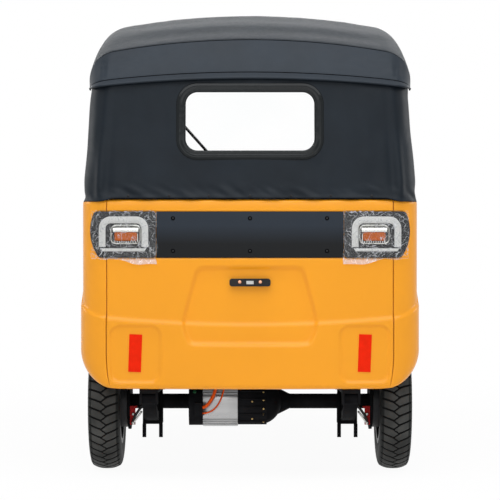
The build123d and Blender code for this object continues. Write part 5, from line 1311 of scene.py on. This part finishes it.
CUSHIONS = (
    # name, node, middle, size, the way it faces, channels
    ("passenger_seat_pad", "passenger_cushion", (0, -927.5, 607.5), (1056, 475, 85), "z", 5),
    ("passenger_back_pad", "passenger_backrest", (0, -1125, 860.3), (1056, 80, 420), "y", 5),
    ("driver_seat_pad", "driver_cushion", (0, 60, 647.5), (450, 350, 85), "z", 3),
    ("driver_back_pad", "driver_backrest", (0, -75, 900.3), (450, 80, 420), "y", 3),
)
CUSHION_CORNER = 40
PAD_CORNER = 26
CHANNEL = (7, 9)
WELT_LINE = (3, 30, 5)
SEAM_FROM = (6, 20)
CROWN = 12
CROWN_EASE = 90
UNEVEN = (1.2, 6)


def pad_rise(u, v, width, length, depth, channels):
    """Half depth of a pad at a place, rolled over at its edges, for its plain back and its sewn front."""
    edge = -rounded_distance(u * width / 2, v * length / 2, width / 2, length / 2, CUSHION_CORNER)
    back = depth / 2 - PAD_CORNER + sqrt(max(0.0, PAD_CORNER ** 2 - max(0.0, PAD_CORNER - edge) ** 2))
    inner = smooth(edge / CROWN_EASE)
    lines = [2 * (step + 1) / channels - 1 for step in range(channels - 1)]
    nearest = min(abs(u - line) for line in lines) * width / 2
    seam = CHANNEL[0] * exp(-(nearest / CHANNEL[1]) ** 2)
    seam += WELT_LINE[0] * exp(-((edge - WELT_LINE[1]) / WELT_LINE[2]) ** 2)
    front = back - CROWN * (1 - inner) - seam * smooth((edge - SEAM_FROM[0]) / SEAM_FROM[1])
    return back, front + UNEVEN[0] * noise.noise((u * UNEVEN[1], v * UNEVEN[1], channels)) * inner


def cushion(name, node, centre, size, facing, channels):
    """A padded block whose front face is crowned and parted by stitched channels."""
    width, length = size[0], size[1] if facing == "z" else size[2]
    depth = size[2] if facing == "z" else size[1]
    us, vs = spread(-1, 1, 0.018), spread(-1, 1, 0.04)
    backs, fronts = [], []
    for v in vs:
        for u in us:
            back, front = pad_rise(u, v, width, length, depth, channels)
            across, along = u * width / 2, v * length / 2
            for points, rise in ((backs, -back), (fronts, front)):
                place = (across, along, rise) if facing == "z" else (across, rise, along)
                points.append([c + p for c, p in zip(centre, place)])
    rows, columns, half = len(vs), len(us), len(backs)
    faces = grid_faces(rows, columns, start=half) + [quad[::-1] for quad in grid_faces(rows, columns)]
    rim = list(range(columns)) + [row * columns + columns - 1 for row in range(1, rows)]
    rim += [(rows - 1) * columns + column for column in range(columns - 2, -1, -1)]
    rim += [row * columns for row in range(rows - 2, 0, -1)]
    faces += [(near, far, half + far, half + near) for near, far in zip(rim, rim[1:] + rim[:1])]
    piece = make_piece(name, backs + fronts, faces, SEAT, slot="seat_vinyl", replaced=(node,))


for row in CUSHIONS:
    cushion(*row)

# Front: bright rims and fluted glasses on the headlamps, side lamps, mirror glasses and a dial

# Height, half width, nose and corner radius of each plan section of the cowl
COWL_SECTIONS = ((300, 475, 1110, 150), (650, 535, 1180, 150), (1000, 548, 1078, 90))
COWL_BOW = 25
HEADLAMP_X = 330
HEADLAMP_Z = 790
HEADLAMP_RADIUS = 72
GLASS_RADIUS = 64
GLASS_PROUD = 14.5
GLASS_DOME = 7
FLUTES = (0.8, 9)
SIDE_LAMP_X = 218
SIDE_LAMP_SUNK = 2
SIDE_LAMP_FACING = (0, 1, 0.1)
SIDE_LAMP_BASE = (30, 8)
SIDE_LAMP = (24, 20)
LAMP_RIM = ((-9, 13), (-8, 17), (-4, 20), (2, 20.5), (7, 17), (11, 9), (12.5, 1), (12, -2))
MIRROR = (640, 935, 1235)
MIRROR_GLASS = (53, 78, 13)
MIRROR_EDGE = ((0, -0.5), (0, 1.2), (-1.5, 2.2), (-4, 2.4))
DIAL_BACK = Vector((0, 862, 1006))
DIAL_FACING = Vector((0, -0.8, 0.6))
DIAL_ACROSS = Vector((1, 0, 0))
DIAL_UP = DIAL_FACING.cross(DIAL_ACROSS)
DIAL_RADIUS = 46
DIAL_DEPTH = 58
DIAL_RIM = ((-5, -2), (-4, 2), (-1, 4), (2, 3), (3, -3), (2.5, -7))
DIAL_RIM_RADIUS = DIAL_RADIUS - 6
DIAL_FACE_RADIUS = DIAL_RADIUS - 8
DIAL_FACE_PROUD = 1.0
TICK_RADIUS = 30
TICK = (1.6, 0.8)
TICK_TURNS = range(-120, 121, 20)


def cowl_face(x, z):
    """How far forward the cowl's face is at a place: its three plan sections are joined by a parabola."""
    t = (z - COWL_SECTIONS[0][0]) / (COWL_SECTIONS[1][0] - COWL_SECTIONS[0][0])
    weights = ((t - 1) * (t - 2) / 2, t * (2 - t), t * (t - 1) / 2)
    half, nose, corner = (sum(weight * plan[index] for weight, plan in zip(weights, COWL_SECTIONS))
                          for index in (1, 2, 3))
    return nose - COWL_BOW * (x / (half - corner)) ** 2


def disc(name, place, radius, proud, material, slot):
    """A round cover: proud gives its height at a place across and up from its middle."""
    turns = spread(0, 2 * pi, pi / 36)[:-1]
    rows = [[(r * cos(turn), r * sin(turn), proud(r * cos(turn), r * sin(turn))) for turn in turns]
            for r in spread(radius, 1.5, 3)]
    vertices, faces = strip(rows, place, closed=True)
    faces.append(tuple(range(len(vertices) - len(turns), len(vertices))))
    return make_piece(name, vertices, faces, material, slot=slot)


def glass_proud(x, z):
    """Height of the headlamp's glass over the cowl, domed and fluted."""
    dome = 1 - (x * x + z * z) / GLASS_RADIUS ** 2
    return GLASS_PROUD + GLASS_DOME * dome + FLUTES[0] * cos(2 * pi * x / FLUTES[1]) * smooth(dome * 4)


def on_cowl(middle):
    """Places points in front of the cowl, across and up from a headlamp's middle."""
    return lambda x, z, proud: (middle + x, cowl_face(middle + x, HEADLAMP_Z + z) + proud, HEADLAMP_Z + z)


def on_mirror(middle):
    """Places points behind a mirror's back face, across and up from its middle."""
    return lambda x, z, proud: (middle + x, MIRROR[1] - proud, MIRROR[2] + z)


def on_dial(x, up, proud):
    """A point over the dial's face, across and up from its middle."""
    return DIAL_BACK + DIAL_FACING * (DIAL_DEPTH + proud) + DIAL_ACROSS * x + DIAL_UP * up


for end, side in (("left", -1), ("right", 1)):
    lamp_place = on_cowl(side * HEADLAMP_X)
    ring_piece(f"headlamp_rim_{end}", (HEADLAMP_RADIUS,) * 3, LAMP_RIM, lamp_place, CHROME, "lamp_lens")
    disc(f"headlamp_glass_{end}", lamp_place, GLASS_RADIUS, glass_proud, LENS, "lamp_lens")
    ring_piece(f"mirror_glass_{end}", MIRROR_GLASS, MIRROR_EDGE, on_mirror(side * MIRROR[0]), CHROME,
               "mirror_shell", filled=True)
side_lamp_y = cowl_face(SIDE_LAMP_X, HEADLAMP_Z) - SIDE_LAMP_SUNK
side_lamps = [((side * SIDE_LAMP_X, side_lamp_y, HEADLAMP_Z), SIDE_LAMP_FACING) for side in (-1, 1)]
studs("side_lamp_bases", side_lamps, *SIDE_LAMP_BASE, GLOSS_BLACK, "black_plastic")
studs("side_lamps", side_lamps, *SIDE_LAMP, AMBER, "amber_lens")

pod_height = DIAL_DEPTH / STUD_PROFILE[-1][1]
studs("dial_pod", [(DIAL_BACK, DIAL_FACING)], DIAL_RADIUS, pod_height, DASH, "dash_plastic")
ring_piece("dial_rim", (DIAL_RIM_RADIUS,) * 3, DIAL_RIM, on_dial, CHROME, "bracket_steel")
disc("dial_face", on_dial, DIAL_FACE_RADIUS, lambda x, up: DIAL_FACE_PROUD, GLOSS_BLACK, "dash_plastic")
ticks = []
for turn in TICK_TURNS:
    x, up = TICK_RADIUS * sin(radians(turn)), TICK_RADIUS * cos(radians(turn))
    ticks.append((on_dial(x, up, DIAL_FACE_PROUD), DIAL_FACING))
studs("dial_ticks", ticks, *TICK, RING, "ring_plastic")

# Handlebar: ribbed rubber grips and two levers that turn with it

GRIP_END = (350, 621.36, 1079.62)
GRIP_AXIS = (-0.9701, 0.2279, 0.083)
GRIP_LENGTH = 114
GRIP_RADIUS = 17.2
GRIP_RIB = 1.3
GRIP_PITCH = 9
# Place along the bar and radius of the grip's rounded end and of its collar
GRIP_TIP = ((-6, 6), (-6, 15), (-3.5, 18.5), (0, 19))
GRIP_COLLAR = ((GRIP_LENGTH - 6, 23), (GRIP_LENGTH, 23), (GRIP_LENGTH + 1, 12))
GRIP_RIBBED = (3, GRIP_LENGTH - 8)
# Along the bar, ahead and up of each point of a lever
LEVER = ((-104, 14, 4), (-96, 40, 2), (-70, 58, 0), (-20, 62, -2), (22, 56, -2))
LEVER_RADIUS = 4.5


def grip(end, axis):
    """Vertices and faces of one ribbed grip."""
    out = axis.orthogonal().normalized()
    over = axis.cross(out)
    ribs = [(along, GRIP_RADIUS + GRIP_RIB * abs(cos(pi * along / GRIP_PITCH)))
            for along in spread(*GRIP_RIBBED, 1.5)]
    turns = spread(0, 2 * pi, pi / 16)[:-1]
    rows = [[end + axis * along + (out * cos(turn) + over * sin(turn)) * radius for turn in turns]
            for along, radius in (*GRIP_TIP, *ribs, *GRIP_COLLAR)]
    vertices, faces = strip(rows, as_given, closed=True)
    return vertices, faces + [tuple(range(len(turns)))[::-1]]


for name, side in (("left", -1), ("right", 1)):
    end, axis = (Vector((side * x, y, z)) for x, y, z in (GRIP_END, GRIP_AXIS))
    make_piece(f"grip_{name}", *grip(end, axis), RUBBER_GRIP, "steering", "black_plastic")
    points = [end - axis * along + Vector((0, ahead, rise)) for along, ahead, rise in LEVER]
    piping(f"lever_{name}", points, LEVER_RADIUS, STEEL, slot="bracket_steel", body="steering")

# Wheels: nuts round each hub, and a domed cap over the axle's end

NUT_RING = 76
NUT_COUNT = 5
NUT = (9.5, 12)
DISC_FACE = 30
FRONT_DISC_FACE = 5
HUB_FACE = 52
HUB_CAP = (41, 13)


def wheel_nuts(name, body, centre, faces_out):
    """Nuts on a wheel's disc, for each face the way it looks and how far out it is."""
    places = []
    for side, out in faces_out:
        for step in range(NUT_COUNT):
            turn = 2 * pi * (step + 0.5) / NUT_COUNT
            nut = Vector((side * out, NUT_RING * cos(turn), NUT_RING * sin(turn)))
            places.append((Vector(centre) + nut, (side, 0, 0)))
    studs(name, places, *NUT, STEEL, "bracket_steel", body)


for end, side in (("left", -1), ("right", 1)):
    middle = Vector((side * WHEEL_X, REAR_AXLE_Y, AXLE_Z))
    wheel_nuts(f"wheel_nuts_{end}", f"rear_wheel_{end}", middle, ((side, DISC_FACE),))
    cap = (middle + Vector((side * HUB_FACE, 0, 0)), (side, 0, 0))
    studs(f"hub_cap_{end}", [cap], *HUB_CAP, GLOSS_BLACK, "black_plastic", f"rear_wheel_{end}")
front_faces = ((-1, FRONT_DISC_FACE), (1, FRONT_DISC_FACE))
wheel_nuts("wheel_nuts_front", "front_wheel", (0, FRONT_AXLE_Y, AXLE_Z), front_faces)

# Floor: a ribbed mat in front of each seat

FLOOR_TOP_Z = 385
MAT_THICK = 3
MAT_EDGE = 1
# Half width at its foot, half width at its top and height of a rib
MAT_RIB = (7, 5, 3)
RIB_PITCH = 22
MATS = (("passenger_mat", -540, 540, -630, -130), ("driver_mat", -500, 500, 250, 640))


def mat(low_x, high_x, low_y, high_y):
    """Vertices and faces of a mat with ribs along the vehicle."""
    foot, top, height = MAT_RIB
    columns = []
    for middle in spread(low_x, high_x, RIB_PITCH):
        columns += [(middle - foot, 0), (middle - top, height), (middle + top, height), (middle + foot, 0)]
    face_z = FLOOR_TOP_Z + MAT_THICK
    ribbed = [[(x, y, face_z + rise) for x, rise in columns] for y in (low_y + MAT_EDGE, high_y - MAT_EDGE)]
    edges = [[(x, y, FLOOR_TOP_Z) for x, _ in columns] for y in (low_y, high_y)]
    return strip([edges[0], *ribbed, edges[1]], as_given)


for name, *limits in MATS:
    make_piece(name, *mat(*limits), RUBBER_GRIP, slot="grey_floor", flat=True)
